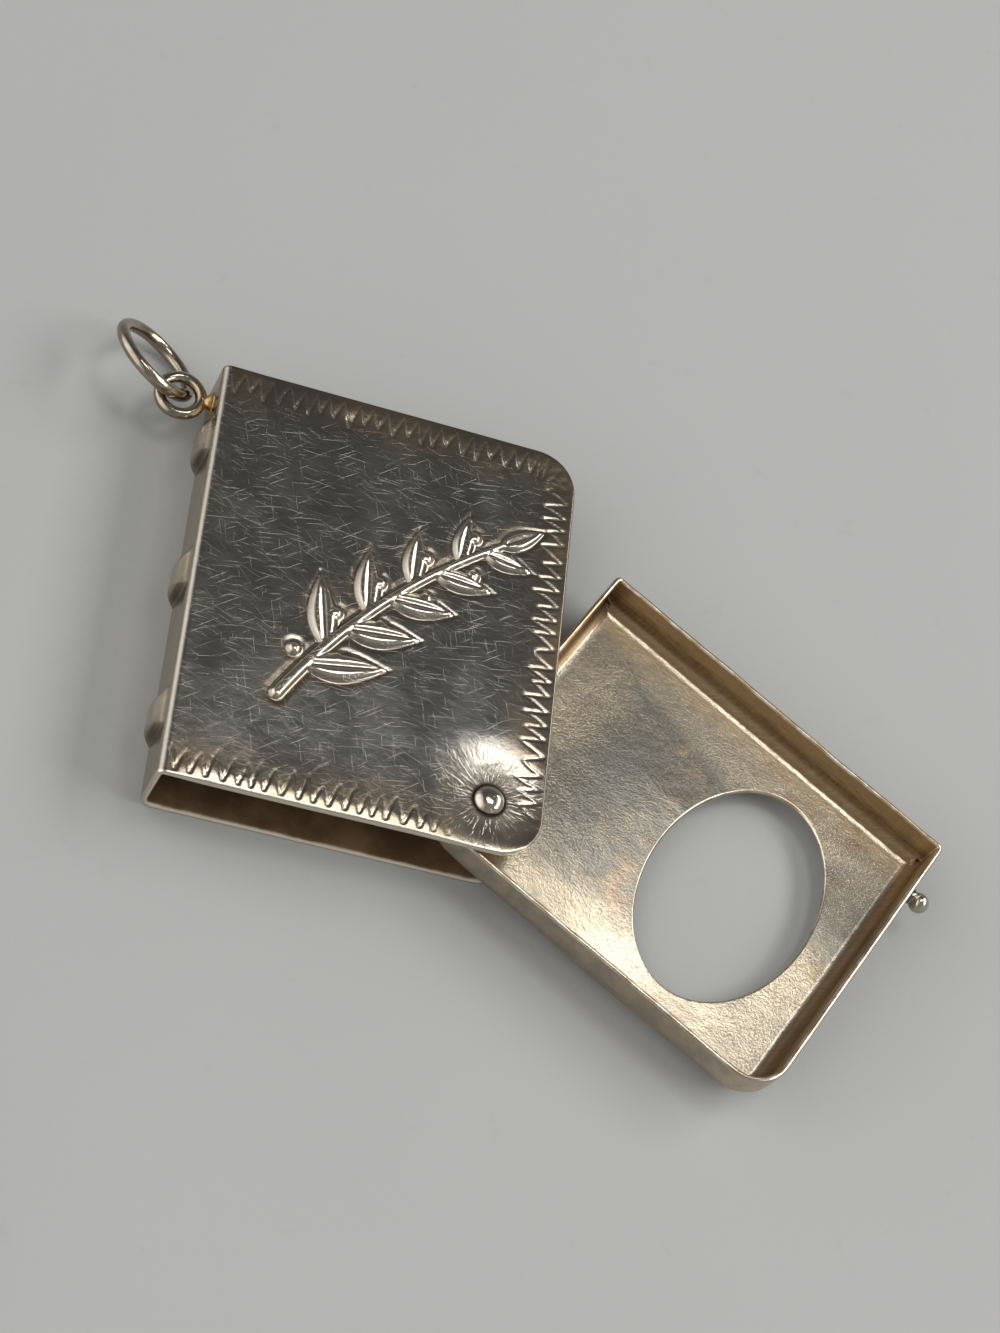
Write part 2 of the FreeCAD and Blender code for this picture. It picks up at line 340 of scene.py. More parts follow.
def grid_quads(rows, columns, rows_closed=False, columns_closed=False):
    """Quads of a grid of points numbered row by row; a closed way joins its last line to its first."""
    row_count = rows if rows_closed else rows - 1
    column_count = columns if columns_closed else columns - 1
    row, column = np.meshgrid(np.arange(row_count), np.arange(column_count), indexing="ij")
    next_row = (row + 1) % rows
    next_column = (column + 1) % columns
    corners = (row * columns + column, row * columns + next_column,
               next_row * columns + next_column, next_row * columns + column)
    return np.stack(corners, axis=-1).reshape(-1, 4)


def strip_faces(outer_path, inner_path, skip):
    """Faces between a path on one face of a sheet and the path on its other face.

    The second path has every skip-th point of the first.
    """
    corners = []
    for step in range(skip):
        corners.append(outer_path[step:-1:skip])
    corners.extend((outer_path[skip::skip], inner_path[1:], inner_path[:-1]))
    return np.stack(corners, axis=-1).tolist()


def closed_sheet(middle, normal, outer_half, inner_half, rows_closed, skip=1):
    """Shell of a thin sheet, with faces middle + normal * outer half and middle - normal * inner half.

    The inner face keeps every skip-th row and column. Strips of faces join the two along every free edge.
    Returns points and faces.
    """
    rows, columns = outer_half.shape
    outer = middle + normal * outer_half[..., None]
    inner = (middle - normal * inner_half[..., None])[::skip, ::skip]
    count = rows * columns
    inner_rows, inner_columns = inner.shape[:2]
    points = np.concatenate((outer.reshape(-1, 3), inner.reshape(-1, 3)))
    outer_numbers = np.arange(count).reshape(rows, columns)
    inner_numbers = np.arange(count, len(points)).reshape(inner_rows, inner_columns)
    faces = grid_quads(rows, columns, rows_closed).tolist()
    faces += (grid_quads(inner_rows, inner_columns, rows_closed)[:, ::-1] + count).tolist()
    if rows_closed:
        outer_numbers = np.concatenate((outer_numbers, outer_numbers[:1]))
        inner_numbers = np.concatenate((inner_numbers, inner_numbers[:1]))
    faces += strip_faces(outer_numbers[:, 0], inner_numbers[:, 0], skip)
    faces += strip_faces(outer_numbers[::-1, -1], inner_numbers[::-1, -1], skip)
    if not rows_closed:
        faces += strip_faces(outer_numbers[0, ::-1], inner_numbers[0, ::-1], skip)
        faces += strip_faces(outer_numbers[-1], inner_numbers[-1], skip)
    return points, faces


def both_faces(outer, inner, skip=1):
    """Mark of a sheet's outer face followed by that of its inner face."""
    return np.concatenate((outer.ravel(), inner[::skip, ::skip].ravel()))


def turned(radii, heights, steps):
    """Profile turned about Z: (r cos a, r sin a, h) for each radius r and height h.

    The profile runs from the lower end up, and a point closes each end. Returns points and faces.
    """
    turn = np.linspace(0.0, FULL_TURN, steps, endpoint=False)
    rings = np.stack((
        radii[:, None] * np.cos(turn),
        radii[:, None] * np.sin(turn),
        np.broadcast_to(heights[:, None], (len(radii), steps)),
    ), axis=-1)
    poles = np.array(((0.0, 0.0, heights[0]), (0.0, 0.0, heights[-1])))
    points = np.concatenate((rings.reshape(-1, 3), poles))
    quads = grid_quads(len(radii), steps, columns_closed=True)
    low_pole = rings.shape[0] * steps
    here = np.arange(steps)
    after = (here + 1) % steps
    last_ring = low_pole - steps
    low_fan = np.stack((np.full(steps, low_pole), after, here), axis=-1)
    high_fan = np.stack((np.full(steps, low_pole + 1), last_ring + here, last_ring + after), axis=-1)
    return points, quads.tolist() + low_fan.tolist() + high_fan.tolist()


def hoop(radius, wire_radius, steps, wire_steps):
    """Ring of wire about Z: R + w cos b out from the axis at turn a, and w sin b up.

    wire_radius gives w for each turn. Returns points and faces.
    """
    turn = np.linspace(0.0, FULL_TURN, steps, endpoint=False)[:, None]
    around = np.linspace(0.0, FULL_TURN, wire_steps, endpoint=False)[None, :]
    thick = wire_radius(turn)
    out = radius + thick * np.cos(around)
    points = np.stack((out * np.cos(turn), out * np.sin(turn), thick * np.sin(around)), axis=-1)
    quads = grid_quads(steps, wire_steps, rows_closed=True, columns_closed=True)
    return points.reshape(-1, 3), quads[:, ::-1].tolist()


def placed(points, matrix):
    """Points carried by a 4 by 4 matrix."""
    turn = np.array(matrix.to_3x3())
    return points @ turn.T + np.array(matrix.translation)


def make_piece(name, points, faces, material, marks=None):
    """Smooth mesh object at the origin, with a float attribute for each entry of marks."""
    mesh = bpy.data.meshes.new(name)
    mesh.from_pydata(points.tolist(), [], faces)
    for label, values in (marks or {}).items():
        attribute = mesh.attributes.new(label, "FLOAT", "POINT")
        attribute.data.foreach_set("value", np.ascontiguousarray(values, dtype=np.float32).ravel())
    mesh.materials.append(material)
    mesh.shade_smooth()
    mesh.update()
    piece = bpy.data.objects.new(name, mesh)
    bpy.context.scene.collection.objects.link(piece)
    return piece


def fit_to_frame(piece, body, node):
    """Let a piece ride on a body and stand for a node, which it hides."""
    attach(piece, body)
    if node:
        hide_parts(node)


def cut_away(piece, points, faces):
    """Take a closed shape out of a piece and keep the result as its mesh."""
    mesh = bpy.data.meshes.new("cutter")
    mesh.from_pydata(points.tolist(), [], faces)
    cutter = bpy.data.objects.new("cutter", mesh)
    bpy.context.scene.collection.objects.link(cutter)
    cut = piece.modifiers.new("cut", "BOOLEAN")
    cut.operation = "DIFFERENCE"
    cut.solver = "EXACT"
    cut.object = cutter
    graph = bpy.context.evaluated_depsgraph_get()
    result = bpy.data.meshes.new_from_object(piece.evaluated_get(graph), depsgraph=graph)
    if len(result.vertices) < len(mesh.vertices):
        raise RuntimeError("cutting " + piece.name + " left no mesh")
    before = piece.data
    piece.modifiers.clear()
    piece.data = result
    result.name = piece.name
    bpy.data.meshes.remove(before)
    bpy.data.objects.remove(cutter)
    bpy.data.meshes.remove(mesh)


# Places that several pieces share

def settings():
    """Settings of the stamp case in this scene."""
    return bpy.context.scene.stamp_case


def pivot_place():
    """Point of the pivot on the table plane."""
    case = settings()
    return Vector((
        case.cover.width / 2 - case.pivot.from_fore,
        case.pivot.from_foot - case.cover.height / 2,
        0.0,
    ))


def tray_place():
    """Matrix from the tray's own frame, with the pivot at its origin, to the open tray."""
    tray = settings().tray
    underside = pivot_place() + Vector((0.0, 0.0, tray.base))
    return Matrix.Translation(underside) @ Matrix.Rotation(-tray.open_angle, 4, "Z")


def loop_place():
    """Middle of the loop on the spine."""
    case = settings()
    wire = case.wire
    stand = wire.loop_stand_off + wire.loop_wire + wire.loop_hole / 2
    return Vector((
        -case.cover.width / 2 - stand,
        case.cover.height / 2 - wire.loop_from_head,
        case.cover.thickness / 2,
    ))


# Book cover

class SprigForm:
    """Height of the pressed sprig as a formula of the place on the front cover.

    In the sprig's own frame the stem is the curve b = bow (1 - (a / half length)^2), with a along its heading
    and b across it. Leaves and berries stand on that curve by turns, left and right.
    """

    LEAF_COUNT = 9
    FIRST_LEAF_SHARE = -0.72
    LAST_LEAF_SHARE = 0.86
    LEAF_WIDTH_SHARE = 0.44
    LEAF_SWELL = 0.78
    FLAT_TOP_SHARE = 0.9
    VEIN_DEPTH_SHARE = 0.35
    VEIN_WIDTH = 0.2 * MM
    STEM_TAPER_SHARE = 0.55
    BERRY_OFF_STEM = 1.15 * MM
    BERRY_AHEAD = 0.15 * MM

    def __init__(self, sizes):
        self.sizes = sizes
        self.leaves = []
        self.berries = []
        leafy_share = self.LAST_LEAF_SHARE - self.FIRST_LEAF_SHARE
        for number in range(self.LEAF_COUNT):
            part = number / (self.LEAF_COUNT - 1)
            along = sizes.half_length * (self.FIRST_LEAF_SHARE + part * leafy_share)
            side = 1.0 if number % 2 else -1.0
            leaf_length = sizes.leaf_length * (1.0 - sizes.leaf_taper * part)
            self.leaves.append((along, self.lean(along) + side * sizes.leaf_angle, leaf_length))
            self.berries.append((along + self.BERRY_AHEAD, -side))
        tip = sizes.half_length
        tip_length = sizes.leaf_length * (1.0 - sizes.leaf_taper)
        self.leaves.append((tip, self.lean(tip), tip_length))

    def stem(self, along):
        """Curve of the stem: bow (1 - (a / half length)^2)."""
        return self.sizes.bow * (1.0 - (along / self.sizes.half_length) ** 2)

    def lean(self, along):
        """Angle of the stem's slope, -2 bow a / half length^2."""
        return math.atan(-2.0 * self.sizes.bow * along / self.sizes.half_length ** 2)

    def own_frame(self, x, y):
        """Place along and across the sprig's heading."""
        east = x - self.sizes.centre_x
        north = y - self.sizes.centre_y
        cosine = math.cos(self.sizes.heading)
        sine = math.sin(self.sizes.heading)
        return east * cosine + north * sine, north * cosine - east * sine

    def leaf(self, along, across, base, heading, leaf_length, spread):
        """Leaf dome 1 - (c / w)^2 at c across the leaf, and the distance c from its middle vein.

        Its half width w is W sin(pi s^p) at a share s of its length, with its swell as the power p.
        spread widens and lengthens the leaf all round.
        """
        ahead = along - base
        aside = across - self.stem(base)
        forward = ahead * math.cos(heading) + aside * math.sin(heading) + spread
        sideways = aside * math.cos(heading) - ahead * math.sin(heading)
        part = forward / (leaf_length + 2.0 * spread)
        swell = np.sin(math.pi * np.clip(part, 0.0, 1.0) ** self.LEAF_SWELL)
        half = (leaf_length * self.LEAF_WIDTH_SHARE / 2 + spread) * swell
        dome = 1.0 - (sideways / np.maximum(half, SMALL_STEP)) ** 2
        within = (part > 0.0) & (part < 1.0)
        return np.where(within, np.clip(dome, 0.0, 1.0), 0.0), sideways

    def raised(self, x, y, spread=0.0):
        """Share of the full rise, from 0 on the bare cover to 1 on the crowns of the leaves."""
        along, across = self.own_frame(x, y)
        reach = self.sizes.half_length
        taper = 1.0 - self.STEM_TAPER_SHARE * np.clip((along + reach) / (2.0 * reach), 0.0, 1.0)
        width = self.sizes.stem_width * taper / 2 + spread
        past_end = np.maximum(np.abs(along) - reach, 0.0)
        from_stem = np.hypot(across - self.stem(np.clip(along, -reach, reach)), past_end)
        top = eased(1.0 - (from_stem / width) ** 2, 0.0, self.FLAT_TOP_SHARE)
        for base, heading, leaf_length in self.leaves:
            dome, sideways = self.leaf(along, across, base, heading, leaf_length, spread)
            vein = 1.0 - self.VEIN_DEPTH_SHARE * bump(sideways, self.VEIN_WIDTH + spread)
            top = np.maximum(top, eased(dome, 0.0, self.FLAT_TOP_SHARE) * vein)
        for base, side in self.berries:
            off_stem = across - self.stem(base) - side * self.BERRY_OFF_STEM
            from_berry = np.hypot(along - base, off_stem) / (self.sizes.berry_radius + spread)
            top = np.maximum(top, eased(1.0 - from_berry ** 2, 0.0, 1.0))
        return top


class CoverForm:
    """Middle surface of the folded cover, by two lengths: run along its section and y up the page.

    run is 0 half-way up the spine, grows over the front fold to the front's fore-edge, and falls over the
    back fold to the back's fore-edge. The section is two quarter circles joined by straights, and a relief
    moves the sheet along its outward normal.
    """

    BAND_SHARES = (0.165, 0.5, 0.835)

    # Place across and up, reach and depth of each dent, in millimetres
    DENTS = (
        (-3.4, 12.75, 0.45, 0.06),
        (-8.9, 13.7, 0.5, 0.05),
        (2.6, -9.4, 0.9, 0.025),
        (-7.2, 4.3, 1.3, 0.02),
    )

    # Radians to a millimetre across and up, and phase, of each of the front's waves
    WAVES = ((0.31, 0.12, 0.4), (-0.17, 0.33, 1.9), (0.46, -0.27, 3.3))
    SPINE_SIDE_REACH = 2.5 * MM
    HEAD_ROLL_REACH = 0.9 * MM
    FOOT_EDGE_REACH = (0.2 * MM, 1.2 * MM)
    # Painted highlight along the front fold: its strength, how far before the front it lies, and its reach
    CREASE_SHARE = 0.5
    CREASE_BEFORE_FRONT = 0.12 * MM
    CREASE_REACH = 0.07 * MM

    # Radians to a millimetre, phase and height of the border's unsteadiness, first in beats, then in reach
    RUN_WAVES = ((0.9, 0.5, 0.10), (1.7, 2.1, 0.09))
    REACH_WAVES = ((2.3, 1.0, 0.15), (5.1, 2.0, 0.1))
    FADE_REACH = (3.0 * MM, 4.6 * MM)
    LOW_END_SWELL = 0.8
    FORE_SKEW = 0.3
    FALL_WIDTH_SHARE = 0.85
    CLIMB_WIDTH_SHARE = 1.1

    def __init__(self, case):
        cover = case.cover
        half_sheet = cover.sheet / 2
        self.cover = cover
        self.pivot = pivot_place()
        self.sprig = SprigForm(case.sprig)
        self.zigzag = case.border
        self.low = cover.back_fold
        self.high = cover.thickness - cover.front_fold
        self.half_spine = (self.high - self.low) / 2
        self.front_round = cover.front_fold - half_sheet
        self.back_round = cover.back_fold - half_sheet
        self.front_start = self.half_spine + self.front_round * QUARTER_TURN
        self.back_start = -self.half_spine - self.back_round * QUARTER_TURN
        self.spine_x = half_sheet - cover.width / 2
        self.front_x = self.spine_x + self.front_round
        self.back_x = self.spine_x + self.back_round

    def section(self, run):
        """Place and outward normal on the middle line: quarter circles at the folds, else straight."""
        front_turn = np.clip((run - self.half_spine) / self.front_round, 0.0, QUARTER_TURN)
        back_turn = np.clip((-self.half_spine - run) / self.back_round, 0.0, QUARTER_TURN)
        level = np.maximum(run - self.front_start, 0.0) + np.maximum(self.back_start - run, 0.0)
        rounding = self.front_round * (1.0 - np.cos(front_turn)) + self.back_round * (1.0 - np.cos(back_turn))
        x = self.spine_x + rounding + level
        upright = (self.low + self.high) / 2 + np.clip(run, -self.half_spine, self.half_spine)
        z = upright + self.front_round * np.sin(front_turn) - self.back_round * np.sin(back_turn)
        return x, z, -np.cos(front_turn) * np.cos(back_turn), np.sin(front_turn) - np.sin(back_turn)

    def bands(self, run, y):
        """Bands across the spine: the lesser of a ridge in y and a circle's bulge in run.

        Each ridge is steep towards the foot.
        """
        cover = self.cover
        bulge_radius = (self.half_spine ** 2 + cover.band_rise ** 2) / (2.0 * cover.band_rise)
        held = np.clip(run, -self.half_spine, self.half_spine)
        bulge = np.sqrt(bulge_radius ** 2 - held ** 2) - (bulge_radius - cover.band_rise)
        ridge = np.zeros_like(y)
        for band_share in self.BAND_SHARES:
            past_middle = y - cover.height * (band_share - 0.5)
            foot_side = eased(cover.band_width / 2 + past_middle, 0.0, cover.band_foot_flank)
            head_side = eased(cover.band_width / 2 - past_middle, 0.0, cover.band_head_flank)
            ridge = np.maximum(ridge, cover.band_rise * np.minimum(foot_side, head_side))
        return np.minimum(ridge, np.maximum(bulge, 0.0))

    def band_grime(self, run, y):
        """Painted shade on the steep foot side of each band: a bell curve in y, fading towards both folds."""
        cover = self.cover
        off_middle = np.clip(np.abs(run) / self.half_spine, 0.0, 1.0)
        dirt = np.zeros_like(y)
        for band_share in self.BAND_SHARES:
            flank_y = cover.height * (band_share - 0.5) - (cover.band_width - cover.band_foot_flank) / 2
            dirt = np.maximum(dirt, bump(y - flank_y, cover.band_foot_flank))
        return dirt * (1.0 - off_middle ** 2)

    def dish(self, x, y):
        """Drop towards the rivet, by the share s of the way from its seat to the dish's rim.

        It climbs as 2 s^2 up to half-way, and from there as 1 - 2 (1 - s)^2.
        """
        from_pivot = np.hypot(x - self.pivot.x, y - self.pivot.y)
        slope_width = self.cover.dish_radius - self.cover.seat_radius
        part = np.clip((from_pivot - self.cover.seat_radius) / slope_width, 0.0, 1.0)
        climb = np.where(part < 0.5, 2.0 * part ** 2, 1.0 - 2.0 * (1.0 - part) ** 2)
        return self.cover.dish_depth * (climb - 1.0)

    def worn_shape(self, x, y):
        """Rolled foot and head edges, dents, and waves as a sum of sines that die out at the spine."""
        cover = self.cover
        from_spine = eased(x, self.front_x, self.front_x + self.SPINE_SIDE_REACH)
        foot_share = np.clip(1.0 - (y + cover.height / 2) / cover.foot_roll_reach, 0.0, 1.0)
        head_share = np.clip(1.0 - (cover.height / 2 - y) / self.HEAD_ROLL_REACH, 0.0, 1.0)
        shape = -cover.foot_roll * foot_share ** 2 - cover.head_roll * head_share ** 2
        for across, up, phase in self.WAVES:
            shape = shape + cover.buckle / len(self.WAVES) * np.sin((across * x + up * y) * PER_MM + phase)
        for dent_x, dent_y, reach, depth in self.DENTS:
            away = np.hypot(x - dent_x * MM, y - dent_y * MM)
            shape = shape - depth * MM * bump(away, reach * MM)
        return shape * from_spine

    def relief(self, run, y):
        """Shift of the sheet along its outward normal."""
        x = self.section(run)[0]
        raised = self.sprig.raised(x, y)
        moat = self.sprig.raised(x, y, self.sprig.sizes.stain_reach / 2)
        sprig = self.sprig.sizes.rise * raised - self.sprig.sizes.moat * moat * (1.0 - raised)
        on_front = run >= self.front_start
        return np.where(on_front, sprig + self.dish(x, y) + self.worn_shape(x, y), self.bands(run, y))

    def middle(self, run, y):
        """Middle surface and the section's own outward normal, along which the relief stands."""
        x, z, normal_x, normal_z = self.section(run)
        lift = self.relief(run, y)
        middle = np.stack((x + normal_x * lift, y, z + normal_z * lift), axis=-1)
        return middle, np.stack((normal_x, np.zeros_like(y), normal_z), axis=-1)

    def inset(self, x, y):
        """Distance in from the cover's outline, which has two square corners and two round ones."""
        radius = self.cover.corner_radius
        from_fore = self.cover.width / 2 - x
        from_end = np.maximum(self.cover.height / 2 - np.abs(y), 0.0)
        in_corner = (from_fore < radius) & (from_end < radius)
        round_inset = radius - np.hypot(radius - from_fore, radius - from_end)
        return np.maximum(np.where(in_corner, round_inset, np.minimum(from_fore, from_end)), 0.0)

    def outline_run(self, x, y):
        """Length along the outline from the spine's head, over the fore-edge, to the spine's foot."""
        cover = self.cover
        radius = cover.corner_radius
        straight = cover.width - radius
        fore_straight = cover.height - 2.0 * radius
        corner_x = cover.width / 2 - radius
        corner_y = cover.height / 2 - radius
        turn_length = radius * QUARTER_TURN
        east = x - corner_x
        head_side = y > 0
        off_corner = np.where(head_side, y - corner_y, -corner_y - y)
        turn = np.arctan2(np.maximum(east, 0.0), np.maximum(off_corner, SMALL_STEP)) * radius
        head_run = straight + np.minimum(east, 0.0) + turn
        whole = 2.0 * straight + 2.0 * turn_length + fore_straight
        end_run = np.where(head_side, head_run, whole - head_run)
        fore_run = straight + turn_length + corner_y - y
        nearer_fore = cover.width / 2 - x < cover.height / 2 - np.abs(y)
        return np.where((off_corner < 0.0) & nearer_fore, fore_run, end_run)

    def border(self, run, y):
        """Marks of the zigzag at each place: beats counted along the edge, inset, stroke, lean and fade.

        The beats are the run along the outline over the pitch. Sines make the beats and the stroke unsteady.
        lean is 1 at the head and -1 at the foot, by the cube of the share of the way there.
        """
        cover = self.cover
        sizes = self.zigzag
        x = self.section(run)[0]
        outline = self.outline_run(x, y)
        fore_start = cover.width - cover.corner_radius + cover.corner_radius * QUARTER_TURN
        on_fore = np.clip(outline - fore_start, 0.0, cover.height - 2.0 * cover.corner_radius)
        beats = outline / sizes.pitch + on_fore * (1.0 / sizes.fore_pitch - 1.0 / sizes.pitch)
        stroke = np.ones_like(y)
        for turns, phase, height in self.RUN_WAVES:
            beats = beats + height * np.sin(turns * outline * PER_MM + phase)
        for turns, phase, height in self.REACH_WAVES:
            stroke = stroke + height * np.sin(turns * outline * PER_MM + phase)
        from_pivot = np.hypot(x - self.pivot.x, y - self.pivot.y)
        low_strip = cover.corner_radius - cover.height / 2
        foot_fade = np.where(y < low_strip, eased(from_pivot, *self.FADE_REACH), 1.0)
        on_front = run > self.front_start
        inset = np.where(on_front, self.inset(x, y), FAR_AWAY)
        lean = np.clip(2.0 * y / cover.height, -1.0, 1.0) ** 3
        return beats, inset, sizes.stroke * stroke, lean, np.where(on_front, foot_fade, 0.0)

    def cut(self, run, y):
        """Depth of the border as a share: 1 along the middle of both sides of each zigzag, 0 at their edges.

        Going round from the head, a zigzag falls from its inner end to its outer one over the fall share of a
        beat, and climbs back over the rest. The fall share is a half + the skew * (1 - the size of the lean),
        so it is longest along the fore-edge. Towards its lower end a line grows wider, and deeper by the
        square of that.
        """
        sizes = self.zigzag
        beats, inset, stroke, lean, fade = self.border(run, y)
        across = np.clip((inset - sizes.margin) / stroke, 0.0, 1.0)
        past = inset - sizes.margin - across * stroke
        fall = 0.5 + self.FORE_SKEW * (1.0 - np.abs(lean))
        climb = 1.0 - fall
        low_end = 1.0 + self.LOW_END_SWELL * (across - 0.5) * lean
        depth = np.zeros_like(inset)
        sides = (
            (beats - fall * (1.0 - across), fall, self.FALL_WIDTH_SHARE),
            (beats - fall - climb * across, climb, self.CLIMB_WIDTH_SHARE),
        )
        for offset, beat_share, width_share in sides:
            square_on = sizes.pitch * stroke / np.hypot(beat_share * sizes.pitch, stroke)
            away = np.hypot(np.abs(offset - np.round(offset)) * square_on, past)
            width = sizes.half_width * width_share * low_end
            depth = np.maximum(depth, 1.0 - eased(away / width, 0.0, 1.0))
        return depth * low_end ** 2 * fade


def edge_columns(rounding, steps):
    """Places across a worn edge, outward from where it begins: the rounding times the sine of even turns."""
    return rounding * np.sin(np.linspace(0.0, QUARTER_TURN, steps)[1:])[None, :]


def cover_grid(form):
    """Rows of y and columns of run: rows follow the round corners by even turns, columns crowd at edges."""
    cover = form.cover
    straight_steps = 235
    corner_steps = 28
    front_columns = 217
    back_columns = 22
    fold_steps = 7
    spine_steps = 23
    edge_steps = 6
    corner_y = cover.height / 2 - cover.corner_radius
    corner_rows = corner_y + cover.corner_radius * np.sin(np.linspace(0.0, QUARTER_TURN, corner_steps))
    straight_rows = np.linspace(-corner_y, corner_y, straight_steps)
    y = np.concatenate((-corner_rows[:0:-1], straight_rows, corner_rows[1:]))[:, None]
    round_off = np.sqrt(cover.corner_radius ** 2 - np.maximum(np.abs(y) - corner_y, 0.0) ** 2)
    fore = cover.width / 2 - cover.corner_radius + round_off
    rim = edge_columns(cover.edge_round, edge_steps)
    front_level = fore - form.front_x - cover.edge_round
    back_level = fore - form.back_x - cover.edge_round
    front = front_level * np.linspace(0.0, 1.0, front_columns)[None, :]
    back = back_level * np.linspace(0.0, 1.0, back_columns)[None, :]
    front = form.front_start + np.concatenate((front, front_level + rim), axis=1)
    back = form.back_start - np.concatenate((back, back_level + rim), axis=1)
    fold = np.concatenate((
        np.linspace(form.back_start, -form.half_spine, fold_steps, endpoint=False)[1:],
        np.linspace(-form.half_spine, form.half_spine, spine_steps),
        np.linspace(form.half_spine, form.front_start, fold_steps)[1:-1],
    ))
    fold = np.broadcast_to(fold[None, :], (len(y), len(fold)))
    run = np.concatenate((back[:, ::-1], fold, front), axis=1)
    return run, np.broadcast_to(y, run.shape)


def cover_marks(form, run, y, skip):
    """Where each point lies: in the border, on the sprig or its stain, inside the case, or near an edge."""
    x = form.section(run)[0]
    inset = form.inset(x, y) * PER_MM
    on_front = run > form.front_start
    raised = np.where(on_front, form.sprig.raised(x, y), form.bands(run, y) / form.cover.band_rise)
    stain = np.where(on_front, form.sprig.raised(x, y, form.sprig.sizes.stain_reach), 0.0)
    foot_edge = 1.0 - eased(y + form.cover.height / 2, *form.FOOT_EDGE_REACH)
    # Painted highlight as a thin bright line along the front fold
    past_crease = run - form.front_start + form.CREASE_BEFORE_FRONT
    crease = form.CREASE_SHARE * bump(past_crease, form.CREASE_REACH)
    beats, border_inset, stroke, lean, fade = form.border(run, y)
    nothing = np.zeros_like(x)
    pairs = {
        "border_beats": (beats, beats),
        "border_inset": (border_inset * PER_MM, nothing + FAR_AWAY),
        "border_stroke": (stroke * PER_MM, stroke * PER_MM),
        "border_lean": (lean, nothing),
        "border_fade": (fade, nothing),
        "foot_edge": (foot_edge, foot_edge),
        "crease": (crease, nothing),
        # Painted shade on the steep foot side of each band
        "band_grime": (form.band_grime(run, y), nothing),
        "raised": (raised, nothing),
        "stain": (stain, nothing),
        "front_side": (eased(run, form.half_spine, form.front_start), nothing),
        "inside": (nothing, nothing + 1.0),
        "edge": (inset, inset),
    }
    marks = {}
    for name, (outer, inner) in pairs.items():
        marks[name] = both_faces(outer, inner, skip)
    return marks


def rivet_hole(case):
    """Countersunk hole for the rivet: a cone below and a straight bore through both covers."""
    pivot = case.pivot
    gap = pivot.cover_fit
    beyond = case.cover.sheet
    bore = pivot.shank_radius + gap
    sink = pivot.tail_radius + gap
    radii = np.array((sink, sink, bore, bore))
    heights = np.array((-beyond, 0.0, pivot.tail_depth, case.cover.thickness + beyond))
    points, faces = turned(radii, heights, TURNED_SIDES)
    return points + np.array(pivot_place()), faces


class STAMPCASE_OT_cover(bpy.types.Operator):
    """Make the folded book cover with its border, sprig and spine bands"""

    bl_idname = "stamp_case.cover"
    bl_label = "Book cover"

    INNER_SKIP = 3

    def execute(self, context):
        case = settings()
        form = CoverForm(case)
        run, y = cover_grid(form)
        edge = form.inset(form.section(run)[0], y)
        half = worn_half(edge, case.cover.sheet, case.cover.edge_round)
        cut_half = half - case.border.depth * form.cut(run, y)
        middle, normal = form.middle(run, y)
        points, faces = closed_sheet(middle, normal, cut_half, half, rows_closed=False, skip=self.INNER_SKIP)
        marks = cover_marks(form, run, y, self.INNER_SKIP)
        cover = make_piece("cover_silverwork", points, faces, cover_finish(case), marks)
        cut_away(cover, *rivet_hole(case))
        fit_to_frame(cover, "case", "book_cover")
        return {"FINISHED"}


# Tray

